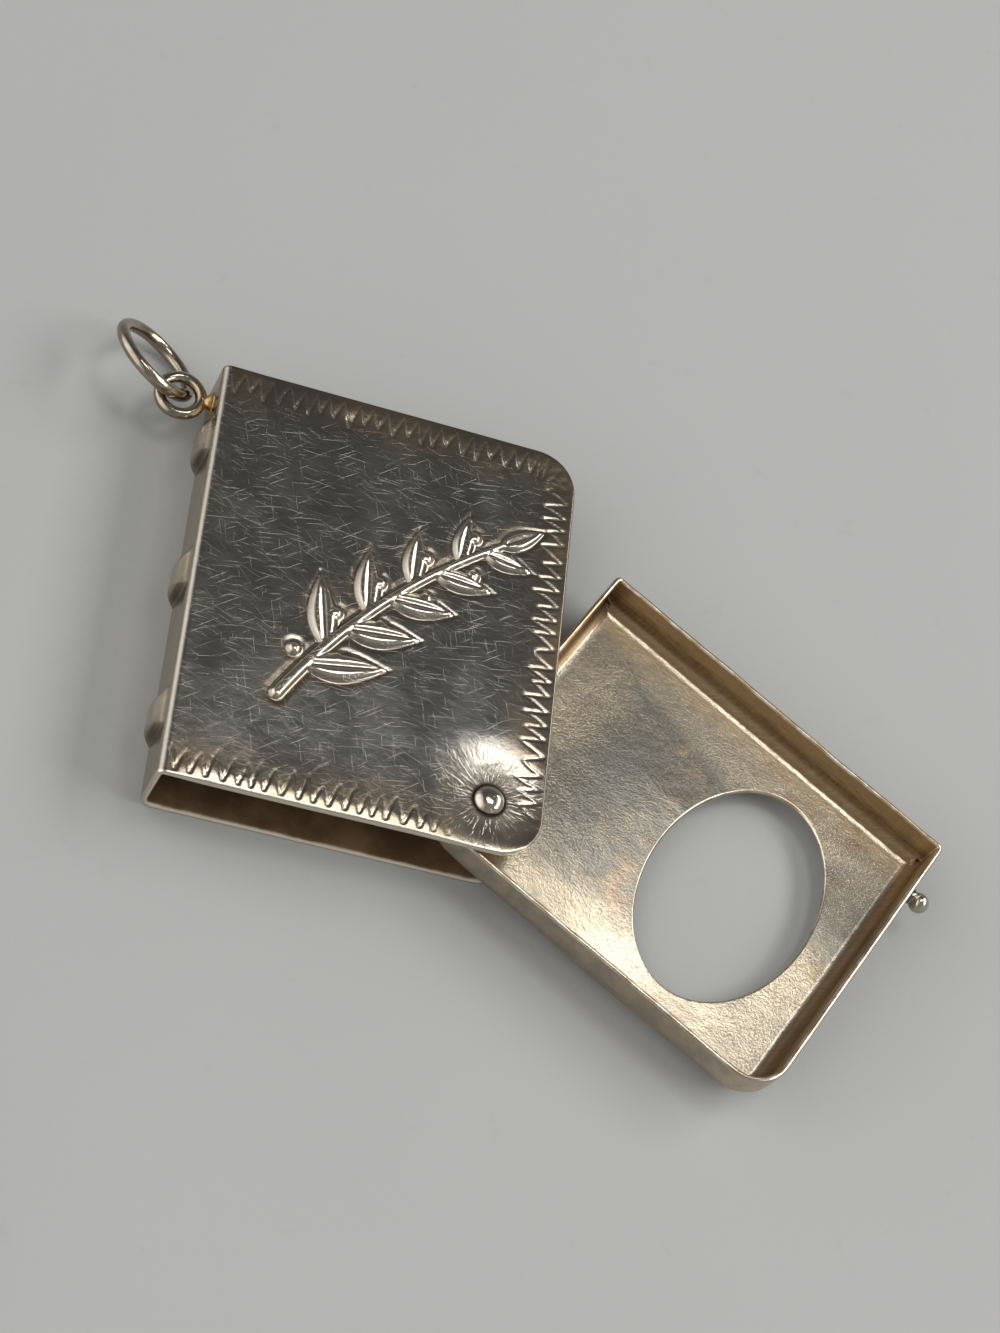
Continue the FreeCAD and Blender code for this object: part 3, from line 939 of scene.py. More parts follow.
class TrayForm:
    """Middle surface of the tray: its outline carried down the wall, round its foot and in to the hole."""

    CORNER_STEPS = 12
    SIDE_STEP = 0.27 * MM
    RIM_STEPS = 5
    WALL_STEPS = 14
    EDGE_STEPS = 8
    FLOOR_STEPS = 34
    SMALLEST_ROUND = 0.12 * MM

    # Waves of the rim, counted round the tray
    RIM_WAVES = (8, 17, 31)

    # Radians to a millimetre across and along, and phase, of each of the floor's waves
    FLOOR_WAVES = ((0.35, 0.22, 0.3), (-0.28, 0.41, 2.2), (0.16, -0.5, 4.0))
    QUIET_REACH = (3.0 * MM, 9.0 * MM)
    SAG_FROM_FORE = 14.0 * MM
    SAG_REACH = (2.2 * MM, 11.0 * MM)
    SAG_PAST = (14.0 * MM, 23.0 * MM)
    SAG_LOSS_SHARE = 0.5
    BRIM_REACH = 2.2 * MM
    FLOOR_FADE_SHARE = 0.2

    def __init__(self, tray):
        self.tray = tray
        self.half_sheet = tray.sheet / 2
        self.edge = tray.floor_edge - self.half_sheet

    def outline(self, inset):
        """Outline drawn in by each inset: four quarter circles joined by straights.

        inset is a row of lengths. The result has a row for each place round the tray, as many at any inset.
        """
        tray = self.tray
        corners = (
            (tray.to_fore, tray.to_head, 0.0, tray.round_corner),
            (-tray.to_spine, tray.to_head, 1.0, tray.square_corner),
            (-tray.to_spine, -tray.to_foot, 2.0, tray.square_corner),
            (tray.to_fore, -tray.to_foot, 3.0, tray.round_corner),
        )
        turn = np.linspace(0.0, QUARTER_TURN, self.CORNER_STEPS)[:, None]
        arcs = []
        for x, y, quarter, radius in corners:
            rounding = np.maximum(radius - inset, self.SMALLEST_ROUND)
            x_in = x - np.sign(x) * (inset + rounding)
            y_in = y - np.sign(y) * (inset + rounding)
            facing = turn + quarter * QUARTER_TURN
            arc = (x_in + rounding * np.cos(facing), y_in + rounding * np.sin(facing))
            arcs.append(np.stack(arc, axis=-1))
        rows = []
        for number, arc in enumerate(arcs):
            after = (number + 1) % len(arcs)
            start = arc[-1]
            end = arcs[after][0]
            side = abs(np.array(corners[number][:2]) - np.array(corners[after][:2])).max()
            steps = np.linspace(0.0, 1.0, int(side / self.SIDE_STEP), endpoint=False)[1:, None, None]
            rows.extend((arc, start + (end - start) * steps))
        return np.concatenate(rows)

    def profile(self):
        """Columns of the wall and its round foot: the inset and the height of each."""
        tray = self.tray
        rim_round = tray.edge_round * (1.0 - np.cos(np.linspace(0.0, QUARTER_TURN, self.RIM_STEPS)))
        wall_low = self.half_sheet + self.edge
        wall = np.linspace(tray.wall_height - tray.edge_round, wall_low, self.WALL_STEPS)[1:]
        turn = np.linspace(0.0, QUARTER_TURN, self.EDGE_STEPS)[1:]
        heights = np.concatenate((tray.wall_height - rim_round, wall, wall_low - self.edge * np.sin(turn)))
        straight = np.full(len(rim_round) + len(wall), self.half_sheet)
        insets = np.concatenate((straight, self.half_sheet + self.edge * (1.0 - np.cos(turn))))
        return insets, heights

    def hole(self, flat, margin):
        """Point of the finger hole's oval, grown by a margin, in line with each point of the flat outline."""
        tray = self.tray
        half_width = tray.hole_width / 2
        half_length = tray.hole_length / 2
        middle_x = (tray.to_fore - tray.to_spine) / 2
        middle_y = tray.to_head - tray.hole_from_head
        bearing = np.arctan2((flat[..., 1] - middle_y) / half_length, (flat[..., 0] - middle_x) / half_width)
        return np.stack((
            middle_x + (half_width + margin) * np.cos(bearing),
            middle_y + (half_length + margin) * np.sin(bearing),
        ), axis=-1)

    def floor_lift(self, flat):
        """Lift of the floor: gentle waves and a rise by the spine wall, less a sag towards the fore wall.

        The waves are a sum of sines. The sag is the share of the way to the fore wall times a smooth step
        away from the foot wall, less towards the head wall. The rise goes by the square of the share of the
        way to the spine wall. Waves and rise die out at the pivot.
        """
        x = flat[..., 0]
        y = flat[..., 1]
        lift = np.zeros_like(x)
        for across, up, phase in self.FLOOR_WAVES:
            lift = lift + np.sin((across * x + up * y) * PER_MM + phase)
        off_pivot = eased(np.hypot(x, y), *self.QUIET_REACH)
        fore_share = np.clip(1.0 - (self.tray.to_fore - x) / self.SAG_FROM_FORE, 0.0, 1.0)
        deep_share = eased(y, *self.SAG_REACH) * (1.0 - self.SAG_LOSS_SHARE * eased(y, *self.SAG_PAST))
        sag = self.tray.floor_sag * fore_share * deep_share
        waves = self.tray.floor_wave / len(self.FLOOR_WAVES) * lift
        brim = self.tray.floor_edge - self.tray.to_spine
        spine_share = np.clip((brim + self.BRIM_REACH - x) / self.BRIM_REACH, 0.0, 1.0)
        return (waves + self.tray.brim_rise * spine_share ** 2) * off_pivot - sag

    def rim_lift(self, rows):
        """Unevenness of the rim: a sum of sines round the outline."""
        place = np.arange(rows) / rows * FULL_TURN
        lift = np.zeros(rows)
        for number, count in enumerate(self.RIM_WAVES):
            lift = lift + np.sin(place * count + number)
        return self.tray.rim_wave / len(self.RIM_WAVES) * lift

    def surface(self):
        """Middle surface, and where each of its points lies.

        That is its distance from a free edge, its share of the way up the wall, and its distance in from the
        floor's brim.
        """
        tray = self.tray
        insets, heights = self.profile()
        wall = self.outline(insets[None, :])
        foot = wall[:, -1]
        lip = self.hole(foot, tray.edge_round)
        shares = np.linspace(0.0, 1.0, self.FLOOR_STEPS)[None, 1:, None]
        floor = foot[:, None] + (lip - foot)[:, None] * shares
        lip_round = tray.edge_round * np.cos(np.linspace(0.0, QUARTER_TURN, self.RIM_STEPS)[1:])
        brink = []
        for margin in lip_round:
            brink.append(self.hole(foot, margin))
        flat = np.concatenate((wall, floor, np.stack(brink, axis=1)), axis=1)
        rows, columns = flat.shape[:2]
        level = np.full(columns - len(heights), self.half_sheet)
        z = np.broadcast_to(np.concatenate((heights, level)), (rows, columns)).copy()
        up_wall = np.clip((z - self.half_sheet) / (tray.wall_height - self.half_sheet), 0.0, 1.0)
        floor_share = 1.0 - eased(up_wall, 0.0, self.FLOOR_FADE_SHARE)
        z += self.rim_lift(rows)[:, None] * up_wall ** 2 + self.floor_lift(flat) * floor_share
        edge = np.full(columns, FAR_AWAY * MM)
        edge[:len(heights)] = tray.wall_height - heights
        edge[-len(lip_round):] = lip_round
        edge[-len(lip_round) - 1] = tray.edge_round
        middle = np.concatenate((flat, z[..., None]), axis=-1)
        from_brim = np.linalg.norm(flat - foot[:, None], axis=-1)
        return middle, np.broadcast_to(edge, (rows, columns)), up_wall, from_brim


def ring_normals(middle):
    """Normals of a surface closed along its rows: cross product of the steps to each point's neighbours."""
    along = np.gradient(middle, axis=1)
    around = np.roll(middle, -1, axis=0) - np.roll(middle, 1, axis=0)
    return unit(np.cross(along, around))


class STAMPCASE_OT_tray(bpy.types.Operator):
    """Make the swinging tray with its finger hole"""

    bl_idname = "stamp_case.tray"
    bl_label = "Tray"

    def execute(self, context):
        case = settings()
        tray = case.tray
        middle, edge, up_wall, from_brim = TrayForm(tray).surface()
        half = worn_half(edge, tray.sheet, tray.edge_round)
        points, faces = closed_sheet(middle, ring_normals(middle), half, half, rows_closed=True)
        nothing = np.zeros_like(half)
        marks = {
            "edge": both_faces(edge, edge) * PER_MM,
            "up_wall": both_faces(up_wall, up_wall),
            "from_brim": both_faces(from_brim, from_brim) * PER_MM,
            "inside": both_faces(nothing, nothing + 1.0),
        }
        pan = make_piece("tray_silverwork", placed(points, tray_place()), faces, tray_finish(case), marks)
        bore = case.pivot.shank_radius + case.pivot.tray_fit
        hole_heights = np.array((-tray.sheet, 2.0 * tray.sheet))
        cutter, cutter_faces = turned(np.array((bore, bore)), hole_heights, TURNED_SIDES)
        cut_away(pan, placed(cutter, tray_place()), cutter_faces)
        fit_to_frame(pan, "tray", "tray_pan")
        return {"FINISHED"}


# Rivet, tube, washer and thumb ball

class STAMPCASE_OT_pivot(bpy.types.Operator):
    """Make the domed rivet and finish the tube and washer on it"""

    bl_idname = "stamp_case.pivot"
    bl_label = "Pivot"

    RIVET_SIDES = 64
    DOME_STEPS = 22
    DOME_FULLNESS = 0.8
    CREVICE_SHARE = 0.3

    def execute(self, context):
        case = settings()
        pivot = case.pivot
        seat = case.cover.thickness - case.cover.dish_depth
        turn = np.linspace(0.0, QUARTER_TURN, self.DOME_STEPS)[:-1]
        dome_radii = pivot.head_radius * np.cos(turn) ** self.DOME_FULLNESS
        dome_heights = seat + pivot.head_rise * np.sin(turn)
        radii = np.concatenate(((pivot.tail_radius, pivot.shank_radius, pivot.shank_radius), dome_radii))
        heights = np.concatenate(((0.0, pivot.tail_depth, seat), dome_heights))
        points, faces = turned(radii, heights, self.RIVET_SIDES)
        above_seat = np.clip((points[:, 2] - seat) / pivot.head_rise, 0.0, 1.0)
        # Painted shade at the foot of the dome
        marks = {"crevice": 1.0 - eased(above_seat, 0.0, self.CREVICE_SHARE)}
        finish = polished_finish(case)
        rivet = make_piece("rivet_dome", points + np.array(pivot_place()), faces, finish, marks)
        fit_to_frame(rivet, "case", "pivot_rivet")
        for node in ("pivot_tube", "floor_washer"):
            finish_node(node, tray_finish(case))
        return {"FINISHED"}


def finish_node(name, material):
    """Give a frame node its finish."""
    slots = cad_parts[name].material_slots
    if not slots:
        raise RuntimeError(name + " has no material slot")
    for slot in slots:
        slot.material = material


class STAMPCASE_OT_thumb_ball(bpy.types.Operator):
    """Make the thumb ball with its soldered neck"""

    bl_idname = "stamp_case.thumb_ball"
    bl_label = "Thumb ball"

    NECK_STEPS = 9
    BALL_STEPS = 26
    CREVICE_SHARES = (0.2, 1.6)

    def execute(self, context):
        case = settings()
        ball = case.ball
        tray = case.tray
        sink = math.sqrt(ball.radius ** 2 - ball.neck_tip ** 2)
        lowest = math.asin(-sink / ball.radius)
        neck = np.linspace(0.0, 1.0, self.NECK_STEPS)
        neck_radii = ball.neck_tip + (ball.neck_base - ball.neck_tip) * (1.0 - neck) ** 2
        turn = np.linspace(lowest, QUARTER_TURN, self.BALL_STEPS)[1:-1]
        ball_heights = ball.neck_length + sink + ball.radius * np.sin(turn)
        radii = np.concatenate((neck_radii, ball.radius * np.cos(turn)))
        heights = np.concatenate((neck * ball.neck_length, ball_heights))
        points, faces = turned(radii, heights, TURNED_SIDES)
        # Painted shade on the neck by the wall
        marks = {"crevice": 1.0 - eased(points[:, 2] / ball.neck_length, *self.CREVICE_SHARES)}
        seat = Vector((ball.from_corner - tray.to_spine, tray.to_head, tray.wall_height / 2))
        place = tray_place() @ Matrix.Translation(seat) @ Matrix.Rotation(-QUARTER_TURN, 4, "X")
        piece = make_piece("thumb_ball_turning", placed(points, place), faces, polished_finish(case), marks)
        fit_to_frame(piece, "tray", "thumb_ball")
        return {"FINISHED"}


# Loop and jump ring

class STAMPCASE_OT_wire(bpy.types.Operator):
    """Make the loop with its solder, and the jump ring threaded through it"""

    bl_idname = "stamp_case.wire"
    bl_label = "Loop and ring"

    LOOP_STEPS = (96, 28)
    RING_STEPS = (160, 32)
    SEAM_REACH = 0.12
    FLAT_SHARE = 0.02
    FLAT_COUNT = 5.0
    SOLDER_REACH = 1.1 * MM
    SOLDER_STEPS = 16
    SOLDER_POWER = 2.5

    def drawn_wire(self, thickness, seam_swell):
        """Wire radius at each turn: slightly flattened by sines, with a swelling at its seam."""
        def radius(turn):
            away = np.abs(turn % FULL_TURN - math.pi)
            uneven = self.FLAT_SHARE * (np.sin(self.FLAT_COUNT * turn) - 1.0) / 2
            return thickness / 2 * (1.0 + uneven + seam_swell * (bump(away, self.SEAM_REACH) - 1.0))
        return radius

    def execute(self, context):
        case = settings()
        wire = case.wire
        finish = wire_finish(case)
        loop_radius = (wire.loop_hole + wire.loop_wire) / 2
        points, faces = hoop(loop_radius, self.drawn_wire(wire.loop_wire, 0.0), *self.LOOP_STEPS)
        points = points + np.array(loop_place())
        spine = -case.cover.width / 2
        marks = {"solder": bump(points[:, 0] - spine, self.SOLDER_REACH)}
        loop = make_piece("loop_wire", points, faces, finish, marks)
        fit_to_frame(loop, "case", "hanging_loop")
        self.make_solder(case, finish)
        ring_radius = (wire.ring_hole + wire.ring_wire) / 2
        ring_wire = self.drawn_wire(wire.ring_wire, wire.seam_swell)
        points, faces = hoop(ring_radius, ring_wire, *self.RING_STEPS)
        threaded = Matrix.Translation(Vector((ring_radius, 0.0, 0.0)))
        lie = (Matrix.Rotation(wire.ring_heading, 4, "Z") @ Matrix.Rotation(wire.ring_dip, 4, "Y")
               @ Matrix.Rotation(wire.ring_roll, 4, "X"))
        place = Matrix.Translation(loop_place()) @ lie @ threaded
        marks = {"solder": np.zeros(len(points))}
        ring = make_piece("ring_wire", placed(points, place), faces, finish, marks)
        fit_to_frame(ring, "ring", "jump_ring")
        return {"FINISHED"}

    def make_solder(self, case, finish):
        """Solder between spine and loop: its radius falls as a power of 1 - s to the wire's own radius."""
        wire = case.wire
        reach = wire.loop_stand_off + wire.loop_wire / 2
        part = np.linspace(0.0, 1.0, self.SOLDER_STEPS)
        flare = (wire.solder_radius - wire.loop_wire / 2) * (1.0 - part) ** self.SOLDER_POWER
        radii = wire.loop_wire / 2 + flare
        heights = part * reach
        sunk = case.cover.sheet / 2
        radii = np.concatenate(((radii[0],), radii))
        heights = np.concatenate(((-sunk,), heights))
        points, faces = turned(radii, heights, TURNED_SIDES)
        foot = Vector((-case.cover.width / 2, loop_place().y, loop_place().z))
        place = Matrix.Translation(foot) @ Matrix.Rotation(-QUARTER_TURN, 4, "Y")
        marks = {"solder": np.ones(len(points))}
        solder = make_piece("loop_solder", placed(points, place), faces, finish, marks)
        fit_to_frame(solder, "case", None)


# Shader nodes

def is_socket(value):
    """True for a socket of another node, False for a plain value."""
    return isinstance(value, bpy.types.NodeSocket)


def feed(tree, socket, value):
    """Link another node's socket to an input, or set a plain value on it."""
    if is_socket(value):
        tree.links.new(value, socket)
    else:
        socket.default_value = value


def add_node(tree, kind, inputs=None, **options):
    """Add a node, set its options, and link or set each input."""
    node = tree.nodes.new(kind)
    for name, value in options.items():
        setattr(node, name, value)
    for name, value in (inputs or {}).items():
        feed(tree, node.inputs[name], value)
    return node


def calculate(tree, operation, first, second=0.0, third=0.0, clamp=False):
    """Math node's result."""
    inputs = {0: first, 1: second, 2: third}
    node = add_node(tree, "ShaderNodeMath", inputs, operation=operation, use_clamp=clamp)
    return node.outputs[0]


def vector_math(tree, operation, first, second):
    """Vector Math node, whose first output is a vector."""
    return add_node(tree, "ShaderNodeVectorMath", {0: first, 1: second}, operation=operation)


def scaled(tree, value, factor):
    """Value times a factor."""
    return calculate(tree, "MULTIPLY", value, factor)


def add_part(tree, value, part, factor):
    """Value plus a part times a factor."""
    return calculate(tree, "MULTIPLY_ADD", part, factor, value)


def remaining(tree, taken):
    """What is left of a share: 1 less what is taken."""
    return calculate(tree, "SUBTRACT", 1.0, taken)


def strongest(tree, values):
    """Largest of several values."""
    largest = values[0]
    for value in values[1:]:
        largest = calculate(tree, "MAXIMUM", largest, value)
    return largest


def hypotenuse(tree, first, second):
    """Square root of the sum of two squares."""
    squares = add_part(tree, scaled(tree, second, second), first, first)
    return calculate(tree, "SQRT", squares)


def ease(tree, value, low, high):
    """Smooth step of a value from low to high, falling where low is above high."""
    inputs = {"Value": value, "From Min": low, "From Max": high}
    if not is_socket(low) and not is_socket(high) and low > high:
        inputs = {"Value": value, "From Min": high, "From Max": low, "To Min": 1.0, "To Max": 0.0}
    return add_node(tree, "ShaderNodeMapRange", inputs, interpolation_type="SMOOTHSTEP").outputs["Result"]


def span(tree, value, low, high):
    """Value from 0 to 1 stretched to run from low to high."""
    inputs = {"Value": value, "To Min": low, "To Max": high}
    return add_node(tree, "ShaderNodeMapRange", inputs).outputs["Result"]


def rgba(plain_colour):
    """Plain colour with an alpha of 1, as a socket takes it."""
    return (*plain_colour, 1.0)


def blend(tree, amount, first, second):
    """Colour mixed from two by an amount."""
    inputs = dict(zip(MIX_COLOUR_INPUTS, (amount, first, second)))
    return add_node(tree, "ShaderNodeMix", inputs, data_type="RGBA").outputs[MIX_COLOUR_RESULT]


def tint(tree, base, over, amount, strength=None):
    """Base with a plain colour laid over it by an amount, times a strength where one is given."""
    shown = amount if strength is None else scaled(tree, amount, strength)
    return blend(tree, shown, base, rgba(over))


def mark(tree, name):
    """Value of a piece's own attribute."""
    return add_node(tree, "ShaderNodeAttribute", attribute_name=name).outputs["Fac"]


def millimetres(tree):
    """Object coordinates in millimetres."""
    place = add_node(tree, "ShaderNodeTexCoord").outputs["Object"]
    return add_node(tree, "ShaderNodeVectorMath", {0: place, "Scale": PER_MM}, operation="SCALE").outputs[0]


def noise(tree, place, scale, detail=2.0, roughness=0.5):
    """Cloudy noise from 0 to 1, with about scale patches to a millimetre."""
    inputs = {"Vector": place, "Scale": scale, "Detail": detail, "Roughness": roughness}
    return add_node(tree, "ShaderNodeTexNoise", inputs).outputs["Fac"]


def node_group(name, inputs, outputs):
    """Empty shader node group, with its entry's outputs and its result's inputs."""
    group = bpy.data.node_groups.new(name, "ShaderNodeTree")
    for socket, kind, default in inputs:
        item = group.interface.new_socket(socket, in_out="INPUT", socket_type=kind)
        if default is not None:
            item.default_value = default
    for socket in outputs:
        group.interface.new_socket(socket, in_out="OUTPUT", socket_type="NodeSocketFloat")
    entry = group.nodes.new("NodeGroupInput")
    result = group.nodes.new("NodeGroupOutput")
    return group, entry.outputs, result.inputs


def tarnish_group():
    """Tarnish in soft patches, and small dark specks."""
    name = "Tarnish"
    if name in bpy.data.node_groups:
        return bpy.data.node_groups[name]
    group, entry, result = node_group(
        name,
        (("Place", "NodeSocketVector", None), ("Patch Size", "NodeSocketFloat", 3.0)),
        ("Patches", "Specks"),
    )
    scale = calculate(group, "DIVIDE", 1.0, entry["Patch Size"])
    patches = noise(group, entry["Place"], scale, detail=5.0, roughness=0.6)
    group.links.new(ease(group, patches, 0.36, 0.64), result["Patches"])
    cells = add_node(group, "ShaderNodeTexVoronoi", {"Vector": entry["Place"], "Scale": 1.3})
    spot = ease(group, cells.outputs["Distance"], 0.13, 0.05)
    rare = ease(group, noise(group, entry["Place"], 0.55), 0.52, 0.62)
    group.links.new(scaled(group, spot, rare), result["Specks"])
    return group


def scratch_group():
    """Straight scratches: peaks of noise drawn out long and thin, laid at several angles.

    Hairs are the dense faint ones, and lines the few that are deep.
    """
    name = "Fine scratches"
    if name in bpy.data.node_groups:
        return bpy.data.node_groups[name]
    group, entry, result = node_group(
        name,
        (("Place", "NodeSocketVector", None), ("Line Length", "NodeSocketFloat", 2.5),
         ("Line Width", "NodeSocketFloat", 0.1)),
        ("Lines", "Hairs"),
    )
    longways = calculate(group, "DIVIDE", 1.0, entry["Line Length"])
    sideways = calculate(group, "DIVIDE", 1.0, entry["Line Width"])
    stretch_parts = {"X": longways, "Y": sideways, "Z": longways}
    stretch = add_node(group, "ShaderNodeCombineXYZ", stretch_parts).outputs[0]
    lines = []
    hairs = []
    for number, (degrees, strength) in enumerate(SCRATCH_LAYS):
        turn = {"Vector": entry["Place"], "Angle": math.radians(degrees)}
        spun = add_node(group, "ShaderNodeVectorRotate", turn, rotation_type="Z_AXIS").outputs[0]
        drawn = vector_math(group, "MULTIPLY", spun, stretch).outputs[0]
        apart = (SCRATCH_SHIFT[0] * number, SCRATCH_SHIFT[1] * number, 0.0)
        shifted = vector_math(group, "ADD", drawn, apart).outputs[0]
        grain = noise(group, shifted, 1.0, detail=0.0)
        hairs.append(scaled(group, ease(group, grain, *HAIR_PEAKS), strength))
        lines.append(scaled(group, ease(group, grain, *LINE_PEAKS), strength))
    group.links.new(strongest(group, lines), result["Lines"])
    group.links.new(strongest(group, hairs), result["Hairs"])
    return group


def wear_group():
    """Bare metal along a worn edge, patchy and fading inwards."""
    name = "Edge wear"
    if name in bpy.data.node_groups:
        return bpy.data.node_groups[name]
    group, entry, result = node_group(
        name,
        (("Place", "NodeSocketVector", None), ("Edge Distance", "NodeSocketFloat", 1.0),
         ("Reach", "NodeSocketFloat", 0.3)),
        ("Wear",),
    )
    patchy = span(group, noise(group, entry["Place"], 1.1, detail=3.0), 0.2, 1.5)
    reach = scaled(group, entry["Reach"], patchy)
    near = remaining(group, ease(group, entry["Edge Distance"], 0.0, reach))
    group.links.new(near, result["Wear"])
    return group


def use_group(tree, group, **inputs):
    """Place a group in a material; underscores in the names of inputs stand for spaces."""
    node = add_node(tree, "ShaderNodeGroup", node_tree=group)
    for name, value in inputs.items():
        feed(tree, node.inputs[name.replace("_", " ").title()], value)
    return node.outputs


def new_finish(name):
    """Empty metal material with its node tree and shader."""
    material = bpy.data.materials.new(name)
    material.use_nodes = True
    tree = material.node_tree
    tree.nodes.clear()
    shader = tree.nodes.new("ShaderNodeBsdfPrincipled")
    output = tree.nodes.new("ShaderNodeOutputMaterial")
    tree.links.new(shader.outputs["BSDF"], output.inputs["Surface"])
    shader.inputs["Metallic"].default_value = 1.0
    return material, tree, shader


def set_bump(tree, shader, height, depth):
    """Feed a height through a Bump node, with its depth in metres."""
    node = add_node(tree, "ShaderNodeBump", {"Height": height, "Distance": depth, "Strength": 1.0})
    tree.links.new(node.outputs["Normal"], shader.inputs["Normal"])


# Finishes, with distances in millimetres

def zigzag(tree, border):
    """Line of the cut border, by the same formula as the cut itself but narrower.

    Gives the line from 0 to 1, and how bright it is, cut silver with a painted highlight: all along the
    fore-edge, less so along the head, and at the lower ends elsewhere.
    """
    beats = mark(tree, "border_beats")
    stroke = mark(tree, "border_stroke")
    lean = mark(tree, "border_lean")
    within = calculate(tree, "SUBTRACT", mark(tree, "border_inset"), border.margin * PER_MM)
    across = calculate(tree, "DIVIDE", within, stroke, clamp=True)
    past = calculate(tree, "SUBTRACT", within, scaled(tree, across, stroke))
    along_fore = remaining(tree, calculate(tree, "ABSOLUTE", lean))
    fall = calculate(tree, "MULTIPLY_ADD", along_fore, CoverForm.FORE_SKEW, 0.5)
    climb = remaining(tree, fall)
    low_end = scaled(tree, calculate(tree, "SUBTRACT", across, 0.5), lean)
    swell = calculate(tree, "MULTIPLY_ADD", low_end, CoverForm.LOW_END_SWELL, 1.0)
    fallen = calculate(tree, "SUBTRACT", beats, scaled(tree, fall, remaining(tree, across)))
    climbed = calculate(tree, "SUBTRACT", beats, add_part(tree, fall, climb, across))
    sides = []
    for offset, beat_share, width_share in (
        (fallen, fall, CoverForm.FALL_WIDTH_SHARE),
        (climbed, climb, CoverForm.CLIMB_WIDTH_SHARE),
    ):
        side_swell = scaled(tree, swell, width_share)
        sides.append(zigzag_side(tree, border, offset, beat_share, past, side_swell))
    line = scaled(tree, strongest(tree, sides), mark(tree, "border_fade"))
    bright = strongest(tree, (
        ease(tree, along_fore, 0.3, 0.75),
        ease(tree, low_end, 0.05, 0.4),
        scaled(tree, ease(tree, lean, 0.3, 0.9), HEAD_LINE_BRIGHTNESS),
    ))
    return line, bright


def zigzag_side(tree, border, offset, beat_share, past, swell):
    """One side of the zigzag, from 1 on its middle line to 0 at its edge."""
    pitch = border.pitch * PER_MM
    stroke = border.stroke * PER_MM
    slant = hypotenuse(tree, scaled(tree, beat_share, pitch / stroke), 1.0)
    square_on = calculate(tree, "DIVIDE", pitch, slant)
    beside = scaled(tree, calculate(tree, "PINGPONG", offset, 0.5), square_on)
    width = scaled(tree, swell, LINE_SHARE * border.half_width * PER_MM)
    return remaining(tree, ease(tree, hypotenuse(tree, beside, past), 0.0, width))


def rivet_marks(tree, case, place):
    """Painted shade where the rivet's head sits, fine marks like spokes round it, and the worn ring they lie
    in, brightened as a painted highlight.
    """
    pivot = pivot_place() * PER_MM
    offset = vector_math(tree, "SUBTRACT", place, tuple(pivot)).outputs[0]
    parts = add_node(tree, "ShaderNodeSeparateXYZ", {0: offset}).outputs
    away = hypotenuse(tree, parts["X"], parts["Y"])
    head = case.pivot.head_radius * PER_MM
    on_front = mark(tree, "front_side")
    # Painted shade round the foot of the rivet's head
    seat = scaled(tree, ease(tree, away, head + 0.32, head + 0.02), on_front)
    bearing = calculate(tree, "ARCTAN2", parts["Y"], parts["X"])
    spoke_parts = {"X": scaled(tree, bearing, SPOKES_PER_RADIAN), "Y": away}
    spoke_place = add_node(tree, "ShaderNodeCombineXYZ", spoke_parts).outputs[0]
    spokes = ease(tree, noise(tree, spoke_place, 1.0), 0.5, 0.66)
    # Worn ring on the dish round the rivet, which also serves as a painted highlight
    ring = scaled(tree, ease(tree, away, head, head + 0.5), ease(tree, away, 4.4, 2.2))
    ring = scaled(tree, ring, on_front)
    return seat, scaled(tree, spokes, ring), ring


def front_colour(tree, case, near_edge, stain, patches):
    """Cover's outside before wear: steel grey, umber by its edges and the sprig, and its own spine."""
    colours = case.colours
    warm = strongest(tree, (near_edge, scaled(tree, stain, 0.85)))
    warm = scaled(tree, warm, span(tree, patches, 0.45, 1.0))
    front = tint(tree, rgba(colours.steel), colours.umber, warm)
    base = blend(tree, mark(tree, "front_side"), rgba(colours.spine), front)
    # Painted shade on the steep foot side of each spine band
    return tint(tree, base, colours.grime_and_shade, mark(tree, "band_grime"), strength=0.95)


